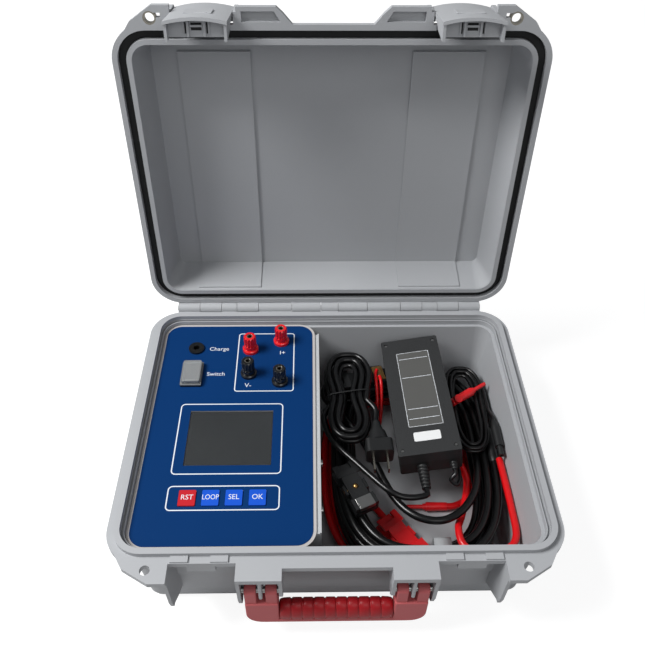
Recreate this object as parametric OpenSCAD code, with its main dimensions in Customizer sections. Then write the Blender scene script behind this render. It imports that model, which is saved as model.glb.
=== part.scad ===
// Winding resistance tester in a hinged carrying case, open with its leads in the tray.
// Millimetres, +Z up, the front with the handle towards -Y, origin under the case's centre.

/* [Case] */
// Width of the case over its rim
case_w = 360; // [300:1:420]
// Depth of the case over its rim, without hinge and handle
case_d = 277; // [230:1:330]
// Height of the lower half, floor to rim face
rim_z = 100; // [80:1:140]
// Corner radius of the rim
corner_r = 30; // [29:0.5:40]
// Thickness of the rim's outer lip
lip_t = 5; // [4:0.5:8]
// Height of the thicker part of the rim
skirt_t = 9; // [8:0.5:12]
// Rim face to outer wall, measured inward
body_in = 12.5; // [11:0.5:14]
// Rim face to inner wall, measured inward
inner_in = 16; // [15:0.5:18]
// How far the outer wall leans in towards the floor
lean_out = 7; // [4:0.5:8]
// How far the inner wall leans in towards the floor
lean_in = 8.5; // [5:0.5:9]
// Floor thickness
floor_t = 4; // [3:0.5:6]
// Depth of the recess in the front wall
front_recess = 2.5; // [1:0.5:3]

/* [Lid] */
// Inner depth of the lid
lid_deep = 40; // [30:1:60]
// Outer depth of the lid
lid_high = 44; // [34:1:66]
// Angle at which the lid stands open
lid_open = 95; // [90:1:105]
// Hinge axis behind the case's centre
hinge_y = 145; // [144.6:0.1:146]
// Radius of the hinge knuckles
knuckle_r = 6; // [5:0.5:6]
// Radius of the hinge pin
hinge_pin_r = 2.5; // [2:0.1:3]
// Height of the raised bands inside the lid
band_t = 2; // [1:0.5:3]

/* [Latches] */
// Latch centre from the middle of the case
latch_x = 104; // [95:1:110]
// Width of a latch cover
latch_w = 48; // [40:1:48]
// Latch pivot above the rim face with the lid closed
latch_h = 20; // [16:1:24]
// Angle of the latch at rest, outward from closed
latch_rest = 6.5; // [6:0.5:8]

/* [Handle] */
// Half width of the handle
handle_hw = 72; // [60:1:72]
// Length of a handle arm, pivot to grip centre
handle_arm = 33; // [28:1:38]
// Handle pivot height
handle_z = 74; // [70:1:78]
// Handle pivot in front of the case's centre
handle_y = 147; // [146:0.5:150]

/* [Instrument] */
// Panel thickness
panel_t = 1.5; // [1:0.1:2]
// Key travel
key_travel = 0.8; // [0.3:0.1:0.8]
// Diameter of a binding post cap
cap_d = 12; // [10:0.5:14]
// Height of a binding post cap
cap_h = 15.5; // [12:0.5:18]

/* [Charger] */
// Charger width
chg_w = 57; // [45:1:60]
// Charger length
chg_l = 142; // [120:1:142]
// Charger height
chg_h = 28; // [24:1:30]

/* [Leads] */
// Diameter of the black test lead
black_d = 7; // [6:0.1:7]
// Diameter of the red test lead
red_d = 6.5; // [5:0.1:6.5]
// Diameter of the mains cord
mains_d = 5.5; // [4:0.1:5.5]
// Diameter of the charging lead
thin_d = 3.6; // [3:0.1:3.6]
// Length of a clip
clip_l = 48; // [44:1:48]
// Width of a clip
clip_w = 22; // [18:1:22]

/* [Hidden] */
$fn = 48;
eps = case_w / 36000;
over = case_w / 360;
gap = case_w / 1200;
fine = case_w / 7200;
hx = case_w / 2;
hy = case_d / 2;

// rim: ridge, groove and panel pocket, inward from the rim's edge
ridge_in = 6;
ridge_w = 4.8;
ridge_h = 4.5;
groove_in = 11.2;
groove_w = 1.4;
groove_h = 3;
pocket_in = 13.6;
pocket_h = 6.5;
small_drop = 1;
body_foot = 10;
foot_mid = 3;
foot_mid_in = 2.5;
foot_in = 8;
pocket_z = rim_z - pocket_h;
inner_low = inner_in + lean_in;

// hinge: knuckle ends along the axis, base and lid in turn
knuckles = [8.9, 39.2, 73.4, 95.7, 111.6, 133.8, 156];
knuckle_gap = 0.4;
arm_t = 6;

// lid
lid_gap = 0.3;
seal_in = 4.5;
seal_w = 7.1;
seal_deep = 6.5;
seal_t = 1.6;
lid_inner_in = 15.8;
lid_lean = 8;
band_x0 = 70.5;
band_x1 = 133.5;
band_y0 = 105;

// latches
pivot_out = 2.5;
latch_r = 97.5;
latch_t = 2.5;
latch_top = 6;
latch_low = 60;
latch_face = 4.6;
ear_in = 24.6;
ear_t = 3;
ear_r = 7;
latch_pin_r = 2;
cheek_t = 2.2;
cheek_gap = 0.6;
hook_hw = 8;
// cheek outline from the pivot, outward and upward
cheek_pts = [[4.4, 5], [4.4, -59], [-10, -58], [-6, -36], [-1.5, -28], [-1.5, -12], [-5, -4], [-3, 4]];
hook_pts = [[4.8, -20], [4.8, -46], [-2, -44], [-6, -37], [-6, -33.6], [-1.2, -32.6], [-1.2, -20]];

// front brackets
gusset_pts = [for (p = [[-51.5, 8.5], [-51.5, -15.8], [-38, -15.8], [-17, -3.5], [-7, 12.5], [-30, 20.5]]) [hx + p[0], p[1] - hy]];
lid_gusset = [[129, -130], [129, -153], [143, -153], [161.6, -140.5], [172, -126], [150, -118]];
window_pts = [[136.3, -147.4], [142.4, -147.4], [147, -143.8], [136.3, -143.8]];
lock_x = hx - 35;
lock_y = hy - 5;
lock_r = 4;
bush_r = 5.2;
side_x = hx - 51.5;
side_t = 2.8;
side_plate = [for (p = [[18.5, 99], [-13.5, 99], [-12.5, 60], [-10, 50], [-6.5, 49], [8.5, 35], [20.5, 26]])
    [p[0] - hy, p[1]]];
brk_out = handle_hw + 5;
brk_t = 2.8;
brk_in = 42;
brk_plate = [for (p = [[20.5, 99], [-14.5, 99], [-13.5, 66], [-10.5, 55], [-6, 52], [6.5, 57], [20.5, 44]])
    [p[0] - hy, p[1]]];
brk_mid = [for (p = [[20.5, 99], [-13.5, 99], [-12.5, 70], [-7.5, 62], [6.5, 66], [20.5, 60]])
    [p[0] - hy, p[1]]];
arch_y = hy + 4.5;
lid_brk = [[77, -130], [77, -152], [45.5, -152], [40, -147], [32.2, -138], [32.2, -130]];
lid_brk_win = [[73, -140.5], [73, -148.5], [47, -148.5], [42, -140.5]];
handle_pin_r = 2.5;

// handle
arm_in = 46;
arm_thick = 10;
grip_h = 22;
grip_t = 12;
grip_hw = 43;
rib_n = 9;
core_gap = 0.2;

// instrument
px0 = -166;
px1 = -15.5;
py = 124.4;
panel_r = 16;
chassis_x0 = -153;
divider_x = -11.5;
chassis_y = 111;
chassis_z = 9;
sheet = 1.5;
overlay_t = 0.3;
panel_top = pocket_z + panel_t;
face_z = panel_top + overlay_t;
ov_in = 2.5;
lcd_box = [-129, -54, -47, 12.2];
lcd_lip = 3;
key_cx = [-121.6, -102.4, -83.2, -63.8];
key_cy = -79;
key_w = 14;
key_l = 14.7;
key_up = 1;
key_lip = 1;
key_slack = 0.3;
board_z = 82.4;
board_t = 1.6;
switch_h = 3;
post_xy = [[-79, 89], [-49, 100], [-79, 57], [-49, 47]];
collar_r = 7.7;
collar_h = 3.7;
stud_r = 3;
stud_low = 16;
socket_r = 2.05;
socket_deep = 14;
bore_slack = 0.05;
jack_xy = [-132.5, 90.3];
jack_r = 7.5;
rock_xy = [-132.9, 55.5];
rock_w = 19.8;
rock_l = 29;
rock_low = 17;
main_z = 22;

// charger in the tray
chg_x = 83.5;
chg_y = 43.5;
chg_yaw = 2.2;
chg_roll = 9;
chg_split = 0.55;
chg_wall = 2.2;

// floors of the tray's layers
lift = gap;
black_c = [77.5, -2];
black_ab = [74.5, 109];
black_p = 8.35;
red_c = [71, 0];
red_ab = [78.2, 107];
red_p = 7.8;
hank_c = [17, 48.5];
hank_ab = [24.5, 55];
hank_p = 6.8;
hank_waist = 7;
waist_len = 22;
thin_c = [134, 45];
thin_ab = [20, 53];
thin_p = 4.8;
red_z = floor_t + lift + red_d / 2;
black_z = red_z + red_p + red_d / 2 + lift + black_d / 2;
black_top = black_z + 3 * black_p + black_d / 2;
clip_h = 12;
clip_z = black_top + lift;
hank_z = clip_z + clip_h + lift * 2 + mains_d / 2;
thin_z = black_top + lift + thin_d / 2;
thin_top = thin_z + thin_p + thin_d / 2;

function unit(v) = v / norm(v);
function sgn_pow(c, q) = c < 0 ? -pow(-c, q) : pow(c, q);
// loop number from the outside at turn t, n loops a layer, starting inside
function tri(t, n) =
    let (m = n - 0.5, j = floor(t / m), f = t - j * m, w = min(f, n - 1))
    j % 2 == 0 ? n - 1 - w : w;
function tri_out(t, n) = n - 1 - tri(t, n);
// layer number at turn t, climbing in the half turn of each reversal
function lay(t, n) =
    let (m = n - 0.5, j = floor(t / m), f = t - j * m)
    j + max(0, f - (n - 1)) * 2;
// one loop point: centre, half axes, pitch, loop number, angle, waist
function loop_at(c, ab, p, k, a, w) =
    let (cs = sgn_pow(cos(a), 0.72), sn = sgn_pow(sin(a), 0.72))
    let (y = (ab[1] - p * k) * sn)
    let (pull = w * exp(-pow(y / waist_len, 2)) * cs)
    [c[0] + (ab[0] - p * k) * cs - pull, c[1] + y];
function coil_pts(c, ab, p, z, n, layers, a0, dir, w, out) =
    let (turns = layers * (n - 1) + (layers - 1) * 0.5, s = 24)
    [for (i = [0:round(turns * s)])
        let (t = i / s, k = out ? tri_out(t, n) : tri(t, n))
        let (q = loop_at(c, ab, p, k, a0 + dir * t * 360, w))
        [q[0], q[1], z + p * lay(t, n)]];
black_pts = coil_pts(black_c, black_ab, black_p, black_z, 3, 4, 180, -1, 0, false);
red_pts = coil_pts(red_c, red_ab, red_p, red_z, 3, 2, 0, 1, 0, false);
hank_pts = coil_pts(hank_c, hank_ab, hank_p, hank_z, 3, 2, 180, -1, hank_waist, true);
thin_pts = coil_pts(thin_c, thin_ab, thin_p, thin_z, 3, 2, 180, -1, 0, true);

// least room between a coil's own loops, steps more than half a turn apart
function seg_gap(p, i, j) =
    let (a = p[i], u = p[i + 1] - a, b = p[j], v = p[j + 1] - b, w = a - b)
    min([for (s = [0:0.25:1]) let (q = w + u * s, t = max(0, min(1, (q * v) / (v * v)))) norm(q - v * t)]);
function self_gap(p, d) =
    let (n = len(p))
    min([for (i = [0:n - 2]) for (j = [i + 9:1:n - 2])
        if (norm(p[i] - p[j]) < 30) seg_gap(p, i, j)]) - d;
echo(least_gap_black = self_gap(black_pts, black_d));
echo(least_gap_red = self_gap(red_pts, red_d));
echo(least_gap_hank = self_gap(hank_pts, mains_d));
echo(least_gap_thin = self_gap(thin_pts, thin_d));

// smooth line through route points, m steps a stretch, its first and last stretch straight
function bend(a, b, c, d, t) =
    0.5 * (2 * b + (c - a) * t + (2 * a - 5 * b + 4 * c - d) * t * t
    + (3 * b - a - 3 * c + d) * t * t * t);
function smooth(p, m) =
    let (n = len(p))
    concat([p[0]], [for (i = [1:n - 3]) for (s = [0:m - 1])
        bend(p[i - 1], p[i], p[i + 1], p[i + 2], s / m)], [p[n - 2], p[n - 1]]);
function heading(p, i) =
    let (n = len(p))
    unit(i == 0 ? p[1] - p[0] : i == n - 1 ? p[n - 1] - p[n - 2] : unit(p[i + 1] - p[i]) + unit(p[i] - p[i - 1]));
function ring(p, i, r, s) =
    let (t = heading(p, i), x = unit(cross([0, 0, 1], t)), y = cross(t, x))
    [for (k = [0:s - 1]) p[i] + r * (cos((k + 0.5) * 360 / s) * x + sin((k + 0.5) * 360 / s) * y)];
module tube(p, r, s) {
    n = len(p);
    pts = [for (i = [0:n - 1]) each ring(p, i, r, s)];
    sides = [for (i = [0:n - 2]) for (k = [0:s - 1])
        [i * s + k, (i + 1) * s + k, (i + 1) * s + (k + 1) % s, i * s + (k + 1) % s]];
    first = [[for (k = [0:s - 1]) k]];
    last = [[for (k = [0:s - 1]) n * s - 1 - k]];
    polyhedron(points = pts, faces = concat(first, sides, last), convexity = 10);
}

// rounded rectangle of the rim, drawn in by an inset
module rim2(inset) {
    square([2 * (hx - corner_r), 2 * (hy - inset)], center = true);
    square([2 * (hx - inset), 2 * (hy - corner_r)], center = true);
    for (i = [-1, 1])
        for (j = [-1, 1])
            translate([i * (hx - corner_r), j * (hy - corner_r)])
                circle(r = corner_r - inset);
}
module slab(inset, z0, z1) {
    translate([0, 0, z0])
        linear_extrude(height = z1 - z0)
            rim2(inset);
}
// straight leaning wall between two insets
module lean(i0, i1, z0, z1) {
    cx = hx - corner_r;
    cy = hy - corner_r;
    r0 = corner_r - i0;
    r1 = corner_r - i1;
    for (i = [-1, 1])
        for (j = [-1, 1])
            translate([i * cx, j * cy, z0])
                cylinder(h = z1 - z0, r1 = r0, r2 = r1);
    rotate([90, 0, 90])
        translate([0, 0, -cx])
            linear_extrude(height = 2 * cx)
                polygon([[-cy - r0, z0], [cy + r0, z0], [cy + r1, z1], [-cy - r1, z1]]);
    rotate([90, 0, 0])
        translate([0, 0, -cy])
            linear_extrude(height = 2 * cy)
                polygon([[-cx - r0, z0], [cx + r0, z0], [cx + r1, z1], [-cx - r1, z1]]);
}
module box2(x0, x1, y0, y1, z0, z1) {
    translate([x0, y0, z0])
        cube([x1 - x0, y1 - y0, z1 - z0]);
}
module plate(pts, z0, z1) {
    translate([0, 0, z0])
        linear_extrude(height = z1 - z0)
            polygon(pts);
}
// upright plate drawn in depth and height, from x0 to x1
module upright(pts, x0, x1) {
    translate([x0, 0, 0])
        rotate([90, 0, 90])
            linear_extrude(height = x1 - x0)
                polygon(pts);
}
module rod(x0, x1, y, z, r) {
    translate([x0, y, z])
        rotate([0, 90, 0])
            cylinder(h = x1 - x0, r = r);
}
module both() {
    children();
    mirror([1, 0, 0])
        children();
}
module soft_box(w, d, h, r) {
    linear_extrude(height = h) {
        square([w - 2 * r, d], center = true);
        square([w, d - 2 * r], center = true);
        for (i = [-1, 1])
            for (j = [-1, 1])
                translate([i * (w / 2 - r), j * (d / 2 - r)])
                    circle(r = r);
    }
}

module base_shell() {
    color("#a4a6a8")
    difference() {
        union() {
            slab(0, rim_z - lip_t, rim_z);
            lean(body_in, ridge_in, rim_z - lip_t - skirt_t / 2, rim_z - lip_t);
            lean(body_in + lean_out, body_in, body_foot, rim_z - lip_t);
            lean(body_in + lean_out + foot_mid_in, body_in + lean_out, foot_mid, body_foot);
            lean(body_in + lean_out + foot_in, body_in + lean_out + foot_mid_in, 0, foot_mid);
            difference() {
                slab(ridge_in, rim_z, rim_z + ridge_h);
                slab(ridge_in + ridge_w, rim_z - over, rim_z + ridge_h + over);
            }
            base_knuckles();
            both() {
                plate(gusset_pts, rim_z - lip_t, rim_z);
                upright(side_plate, side_x, side_x + side_t);
                upright(brk_plate, brk_out - brk_t, brk_out);
                upright(brk_mid, brk_in, brk_in + brk_t);
                box2(brk_in, brk_out, -arch_y - 10, -hy + over, rim_z - lip_t, rim_z);
                catch_lug(82.9, 96.5);
                catch_lug(113.4, 127);
            }
            box2(-brk_in - over, brk_in + over, -arch_y, -hy + over, rim_z - lip_t, rim_z);
            box2(-latch_x - 11, -latch_x + 11, -hy, -hy + 4, rim_z - 12, rim_z - lip_t + over);
            box2(latch_x - 11, latch_x + 11, -hy, -hy + 4, rim_z - 12, rim_z - lip_t + over);
        }
        lean(inner_low, inner_in, floor_t + 4, rim_z);
        lean(inner_low + 2.5, inner_low, floor_t, floor_t + 4);
        slab(inner_in, rim_z - over, rim_z + ridge_h + over);
        slab(pocket_in, pocket_z, rim_z - small_drop);
        slab(pocket_in, rim_z - small_drop, rim_z + over);
        difference() {
            slab(groove_in, rim_z - groove_h, rim_z + over);
            slab(groove_in + groove_w, rim_z - groove_h - over, rim_z + 2 * over);
        }
        difference() {
            slab(groove_in + groove_w, rim_z - small_drop, rim_z + over);
            slab(pocket_in + over, rim_z - small_drop - over, rim_z + 2 * over);
        }
        box2(-side_x, side_x, -hy, -hy + body_in + lean_out / 2 + front_recess, -over, 52);
        both() {
            translate([lock_x, -lock_y - 10, rim_z - lip_t - over])
                cylinder(h = lip_t + 2 * over, r = lock_r);
            rod(brk_in - over, brk_out + over, -handle_y, handle_z, handle_pin_r);
        }
        both_pins(hinge_pin_r);
    }
}
module catch_lug(x0, x1) {
    box2(x0, x1, -hy + 0.6, -hy + ridge_in + over, rim_z - over, rim_z + 1.5);
}
module base_knuckles() {
    k = knuckles;
    g = knuckle_gap / 2;
    one_knuckle(-k[0] + g, k[0] - g);
    both() {
        one_knuckle(k[1] + g, k[2] - g);
        one_knuckle(k[3] + g, k[4] - g);
        one_knuckle(k[5] + g, k[6]);
    }
}
module one_knuckle(x0, x1) {
    rod(x0, x1, hinge_y, rim_z, knuckle_r);
    box2(x0, x1, hy - over, hinge_y, rim_z - arm_t, rim_z);
}
module both_pins(r) {
    rod(-knuckles[6] - over, knuckles[6] + over, hinge_y, rim_z, r);
}

// things built with the lid shut, then turned open
module as_open() {
    translate([0, hinge_y, rim_z])
        rotate([-lid_open, 0, 0])
            translate([0, -hinge_y, -rim_z])
                children();
}
module lid_shell() {
    k = knuckles;
    g = knuckle_gap / 2;
    z0 = rim_z + lid_gap;
    top = rim_z + lid_high;
    color("#a4a6a8")
    as_open()
    difference() {
        union() {
            slab(0, z0, z0 + lip_t);
            slab(over * 2, z0 + lip_t, z0 + skirt_t);
            lean(body_in, body_in + lean_out, z0 + skirt_t, top - foot_mid * 2);
            lean(body_in + lean_out, body_in + lean_out + foot_mid_in, top - foot_mid * 2, top - over);
            slab(body_in + lean_out + foot_mid_in + over, top - over, top);
            both() {
                lid_knuckle(k[0] + g, k[1] - g);
                lid_knuckle(k[2] + g, k[3] - g);
                lid_knuckle(k[4] + g, k[5] - g);
                plate(lid_gusset, z0, z0 + lip_t);
                plate(lid_brk, z0, z0 + lip_t);
                latch_ear(latch_x - ear_in - ear_t);
                latch_ear(latch_x + ear_in);
            }
        }
        difference() {
            union() {
                slab(lid_inner_in, z0 - over, z0 + over);
                lean(lid_inner_in, lid_inner_in + lid_lean, z0, rim_z + lid_deep);
            }
            both()
                lid_band();
        }
        difference() {
            slab(seal_in, z0 - over, z0 + seal_deep);
            slab(seal_in + seal_w, z0 - 2 * over, z0 + seal_deep + over);
        }
        both() {
            box2(82, 97.4, -hy - over, -hy + ridge_in, z0 - over, rim_z + 2.2);
            box2(112.5, 127.9, -hy - over, -hy + ridge_in, z0 - over, rim_z + 2.2);
            plate(window_pts, z0 - over, z0 + lip_t + over);
            plate(lid_brk_win, z0 - over, z0 + lip_t + over);
            translate([lock_x, -lock_y - 10, z0 - over])
                cylinder(h = lip_t + 2 * over, r = bush_r);
            rod(latch_x - ear_in - ear_t - over, latch_x + ear_in + ear_t + over, -hy - pivot_out,
                rim_z + latch_h, latch_pin_r);
            translate([latch_x, 0, 0])
                box2(-ear_in, ear_in, -hy - 20, -hy + 5, z0 + skirt_t + over, top);
        }
        both_pins(hinge_pin_r + bore_slack);
    }
}
module lid_knuckle(x0, x1) {
    rod(x0, x1, hinge_y, rim_z, knuckle_r);
    box2(x0, x1, hy - over, hinge_y, rim_z + lid_gap, rim_z + arm_t);
}
// raised band up the lid's back and over its rear wall
module lid_band() {
    z1 = rim_z + lid_deep;
    box2(band_x0, band_x1, -band_y0, hy, z1 - band_t, z1 + over);
    upright([[hy - lid_inner_in - lid_lean - band_t, z1 + over],
        [hy - lid_inner_in - band_t, rim_z + 4 * over], [hy, rim_z + 4 * over], [hy, z1 + over]],
        band_x0, band_x1);
}
module latch_ear(x0) {
    y = -hy - pivot_out;
    z = rim_z + latch_h;
    rod(x0, x0 + ear_t, y, z, ear_r);
    box2(x0, x0 + ear_t, y, -hy + 18, rim_z + skirt_t, z + ear_r);
    box2(x0, x0 + ear_t, y - ear_r, -hy + over, rim_z + lid_gap, z);
}
module lid_seal() {
    z1 = rim_z + lid_gap + seal_deep;
    color("#141516")
    as_open()
    difference() {
        slab(seal_in + 0.2, z1 - seal_t, z1);
        slab(seal_in + seal_w - 0.2, z1 - seal_t - over, z1 + over);
    }
}
module hinge_pin() {
    color("#8c8e90")
        both_pins(hinge_pin_r);
}
module padlock_bushings() {
    color("#9b9690")
    as_open()
    both()
        translate([lock_x, -lock_y - 10, rim_z + lid_gap])
            difference() {
                cylinder(h = lip_t + gap, r = bush_r);
                translate([0, 0, -over])
                    cylinder(h = lip_t + 2 * over, r = lock_r);
            }
}
// one latch in its own frame: pivot at the origin, outward to -Y
module latch_body() {
    sag = latch_r - sqrt(latch_r * latch_r - latch_w * latch_w / 4);
    translate([0, 0, -latch_low])
        linear_extrude(height = latch_low + latch_top)
            intersection() {
                translate([0, latch_r - latch_face - sag])
                    difference() {
                        circle(r = latch_r, $fn = 120);
                        circle(r = latch_r - latch_t, $fn = 120);
                    }
                translate([-latch_w / 2, -latch_face - sag - over])
                    square([latch_w, sag + latch_t + 2 * over]);
            }
    for (i = [-1, 1])
        translate([i * (latch_w / 2 - cheek_gap - cheek_t / 2) - cheek_t / 2, 0, 0])
            upright([for (q = cheek_pts) [-q[0], q[1]]], 0, cheek_t);
    upright([for (q = hook_pts) [-q[0] - over, q[1]]], -hook_hw, hook_hw);
}
module latch_at(x) {
    color("#a9abad")
    as_open()
        translate([x, -hy - pivot_out, rim_z + latch_h])
            rotate([-latch_rest, 0, 0])
                difference() {
                    latch_body();
                    rod(-latch_w, latch_w, 0, 0, latch_pin_r + bore_slack);
                }
}
module latch_left() {
    latch_at(-latch_x);
}
module latch_right() {
    latch_at(latch_x);
}
module latch_pins() {
    color("#8c8e90")
    as_open()
    both()
        rod(latch_x - ear_in - ear_t, latch_x + ear_in + ear_t, -hy - pivot_out, rim_z + latch_h,
            latch_pin_r);
}
module handle_core() {
    z0 = handle_z - handle_arm - grip_h / 2;
    color("#9c3538")
    difference() {
        union() {
            both() {
                rod(arm_in, handle_hw, -handle_y, handle_z, arm_thick / 2);
                box2(arm_in, handle_hw, -handle_y - arm_thick / 2, -handle_y + arm_thick / 2,
                    z0 + 10, handle_z);
                translate([handle_hw - 14, -handle_y + arm_thick / 2, z0 + 10])
                    rotate([90, 0, 0])
                        intersection() {
                            cylinder(h = arm_thick, r1 = 14, r2 = 14);
                            translate([0, -14, 0])
                                cube([14, 14, arm_thick]);
                        }
                box2(arm_in, handle_hw - 13, -handle_y - arm_thick / 2, -handle_y + arm_thick / 2,
                    z0 - 4 + over * 0, z0 + 11);
            }
            box2(-arm_in - over, arm_in + over, -handle_y - arm_thick / 2 + 2, -handle_y + arm_thick / 2 - 2,
                z0, z0 + grip_h - 4);
        }
        both()
            rod(arm_in - over, handle_hw + over, -handle_y, handle_z, handle_pin_r + bore_slack);
    }
}
module handle_grip() {
    z0 = handle_z - handle_arm - grip_h / 2 - 1;
    color("#951720")
    difference() {
        union() {
            box2(-grip_hw, grip_hw, -handle_y - grip_t / 2 + over, -handle_y + grip_t / 2 - over,
                z0, z0 + grip_h);
            for (i = [0:rib_n - 1])
                translate([(i - (rib_n - 1) / 2) * grip_hw * 2 / (rib_n + 0.4), -handle_y, z0 - over])
                    soft_box(grip_hw / 9, grip_t, grip_h + 2 * over, over);
        }
        box2(-grip_hw - over, grip_hw + over, -handle_y - arm_thick / 2 + 2 - core_gap * 0,
            -handle_y + arm_thick / 2 - 2, z0 + 1, z0 + grip_h - 3);
    }
}
module handle_pins() {
    color("#8c8e90")
    both()
        rod(brk_in, brk_out, -handle_y, handle_z, handle_pin_r);
}

module panel2(inset) {
    w = px1 - px0 - 2 * inset;
    d = 2 * (py - inset);
    r = panel_r - inset;
    translate([(px0 + px1) / 2, 0]) {
        square([w - 2 * r, d], center = true);
        square([w, d - 2 * r], center = true);
        for (i = [-1, 1])
            for (j = [-1, 1])
                translate([i * (w / 2 - r), j * (d / 2 - r)])
                    circle(r = r);
    }
}
module instrument_chassis() {
    x0 = chassis_x0;
    x1 = divider_x;
    color("#b8babc")
    difference() {
        union() {
            box2(x0, x1, -chassis_y, chassis_y, chassis_z, chassis_z + sheet);
            box2(x0, x0 + sheet, -chassis_y, chassis_y, chassis_z, pocket_z);
            box2(x1 - sheet, x1, -chassis_y, chassis_y, chassis_z, panel_top);
            box2(x0, x1, -chassis_y, -chassis_y + sheet, chassis_z, pocket_z);
            box2(x0, x1, chassis_y - sheet, chassis_y, chassis_z, pocket_z);
            box2(x1 - 12, x1, -chassis_y, chassis_y, pocket_z - sheet, pocket_z);
            for (i = [-1, 1])
                for (j = [x0 + 20, x1 - 20])
                    translate([j, i * 90, floor_t])
                        cylinder(h = chassis_z - floor_t, r = 6);
            for (i = [-1, 1])
                for (j = [-120, -40])
                    translate([j, i * 75, chassis_z])
                        cylinder(h = main_z - chassis_z, r = 3.5);
        }
        for (y = [-38, -84])
            rod(x1 - 3, x1 + over, y, 84, 1.5);
    }
}
module panel_holes(z0, z1, slack) {
    b = lcd_box;
    box2(b[0] - slack, b[1] + slack, b[2] - slack, b[3] + slack, z0, z1);
    for (x = key_cx)
        translate([x, key_cy, z0])
            soft_box(key_w + 2 * key_slack, key_l + 2 * key_slack, z1 - z0, over);
    for (q = post_xy)
        translate([q[0], q[1], z0])
            cylinder(h = z1 - z0, r = stud_r + 1.2);
    translate([jack_xy[0], jack_xy[1], z0])
        cylinder(h = z1 - z0, r = jack_r - 1.5);
    translate([rock_xy[0], rock_xy[1], z0])
        translate([-rock_w / 2 + 1, -rock_l / 2 + 1, 0])
            cube([rock_w - 2, rock_l - 2, z1 - z0]);
}
module panel_plate() {
    color("#b0aca8")
    difference() {
        translate([0, 0, pocket_z])
            linear_extrude(height = panel_t)
                panel2(0);
        panel_holes(pocket_z - over, panel_top + over, 0);
    }
}
module panel_overlay() {
    color("#10386c")
    difference() {
        translate([0, 0, panel_top])
            linear_extrude(height = overlay_t)
                panel2(ov_in);
        panel_holes(panel_top - over, face_z + over, 0);
    }
}
module lcd_window() {
    b = lcd_box;
    color("#55595c")
    union() {
        box2(b[0] + gap, b[1] - gap, b[2] + gap, b[3] - gap, pocket_z - 1.5, panel_top - 0.6);
        box2(b[0] - lcd_lip, b[1] + lcd_lip, b[2] - lcd_lip, b[3] + lcd_lip, pocket_z - 1.5, pocket_z);
    }
}
module lcd_module() {
    b = lcd_box;
    z0 = board_z + board_t;
    color("#3c4146")
    difference() {
        box2(b[0] - 5, b[1] + 5, b[2] - 5, b[3] + 5, z0, pocket_z - 1.5);
        box2(b[0], b[1], b[2], b[3], pocket_z - 3, pocket_z);
    }
}
module key_board() {
    z0 = board_z + board_t;
    color("#1f5a35") {
        difference() {
            box2(-142, -42, -92, 26, board_z, z0);
            for (x = [-139, -45])
                for (y = [-89, 23])
                    translate([x, y, board_z - over])
                        cylinder(h = board_t + 2 * over, r = 1.6);
        }
        for (x = key_cx) {
            box2(x - 3, x + 3, key_cy - 3, key_cy + 3, z0, z0 + switch_h - 0.8);
            translate([x, key_cy, z0])
                cylinder(h = switch_h, r = 1.7);
        }
        box2(-134, -104, -64, -58, z0, z0 + 4);
    }
}
module one_key(i) {
    z_lip = pocket_z - 0.1;
    translate([key_cx[i], key_cy, 0]) {
        translate([0, 0, z_lip - over])
            soft_box(key_w, key_l, face_z + key_up - z_lip + over, over);
        translate([0, 0, z_lip - 1.4])
            soft_box(key_w + 2 * key_lip, key_l + 2 * key_lip, 1.4, over);
        translate([0, 0, board_z + board_t + switch_h + key_travel + 0.1])
            cylinder(h = z_lip - board_z - board_t - switch_h - key_travel - 0.1 - over, r = 2.5);
    }
}
module key_reset() {
    color("#e12832")
        one_key(0);
}
module key_loop() {
    color("#1e5ae6")
        one_key(1);
}
module key_select() {
    color("#1e5ae6")
        one_key(2);
}
module key_ok() {
    color("#1e5ae6")
        one_key(3);
}
module main_board() {
    z0 = main_z + board_t;
    color("#1d5b38") {
        difference() {
            box2(-130, -30, -85, 85, main_z, z0);
            for (x = [-120, -40])
                for (y = [-75, 75])
                    translate([x, y, main_z - over])
                        cylinder(h = board_t + 2 * over, r = 1.6);
        }
        box2(-118, -86, 30, 62, z0, z0 + 24);
        box2(-74, -54, 40, 66, z0, z0 + 16);
        box2(-112, -98, -8, 6, z0, z0 + 2.4);
        for (x = [-60, -46])
            translate([x, 8, z0])
                cylinder(h = 22, r = 5.5);
        box2(-126, -118, -24, 6, z0, z0 + 8);
    }
}
module battery_pack() {
    color("#2d5fa0")
        for (i = [0:3])
            translate([-120 + i * 22, -28, main_z + board_t + 12.6])
                rotate([90, 0, 0])
                    cylinder(h = 52, r = 10.9);
    color("#2d5fa0")
        box2(-131, -43, -80, -28, main_z + board_t, main_z + board_t + 6);
}
module dc_socket() {
    color("#1a1b1c")
    translate([jack_xy[0], jack_xy[1], 0])
        difference() {
            union() {
                translate([0, 0, face_z])
                    cylinder(h = 2, r = jack_r);
                translate([0, 0, face_z - 14])
                    cylinder(h = 14, r = jack_r - 1.7);
                translate([0, 0, pocket_z - 2.5])
                    cylinder(h = 2.5, r = jack_r + 0.5, $fn = 6);
            }
            difference() {
                translate([0, 0, face_z - 9])
                    cylinder(h = 12, r = 3);
                translate([0, 0, face_z - 10])
                    cylinder(h = 9, r = 1.1);
            }
        }
}
module switch_housing() {
    z0 = face_z - rock_low;
    color("#17181a")
    translate([rock_xy[0], rock_xy[1], 0]) {
        rod(-rock_w / 2 + 2, rock_w / 2 - 2, 0, face_z - 3, 1);
        difference() {
            union() {
                translate([0, 0, face_z])
                    soft_box(rock_w, rock_l, 2, over);
                translate([-rock_w / 2 + 1.2, -rock_l / 2 + 1.2, z0])
                    cube([rock_w - 2.4, rock_l - 2.4, rock_low + over]);
            }
            translate([-rock_w / 2 + 2.4, -rock_l / 2 + 2.4, z0 + 2])
                cube([rock_w - 4.8, rock_l - 4.8, rock_low + 4]);
        }
    }
}
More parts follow.
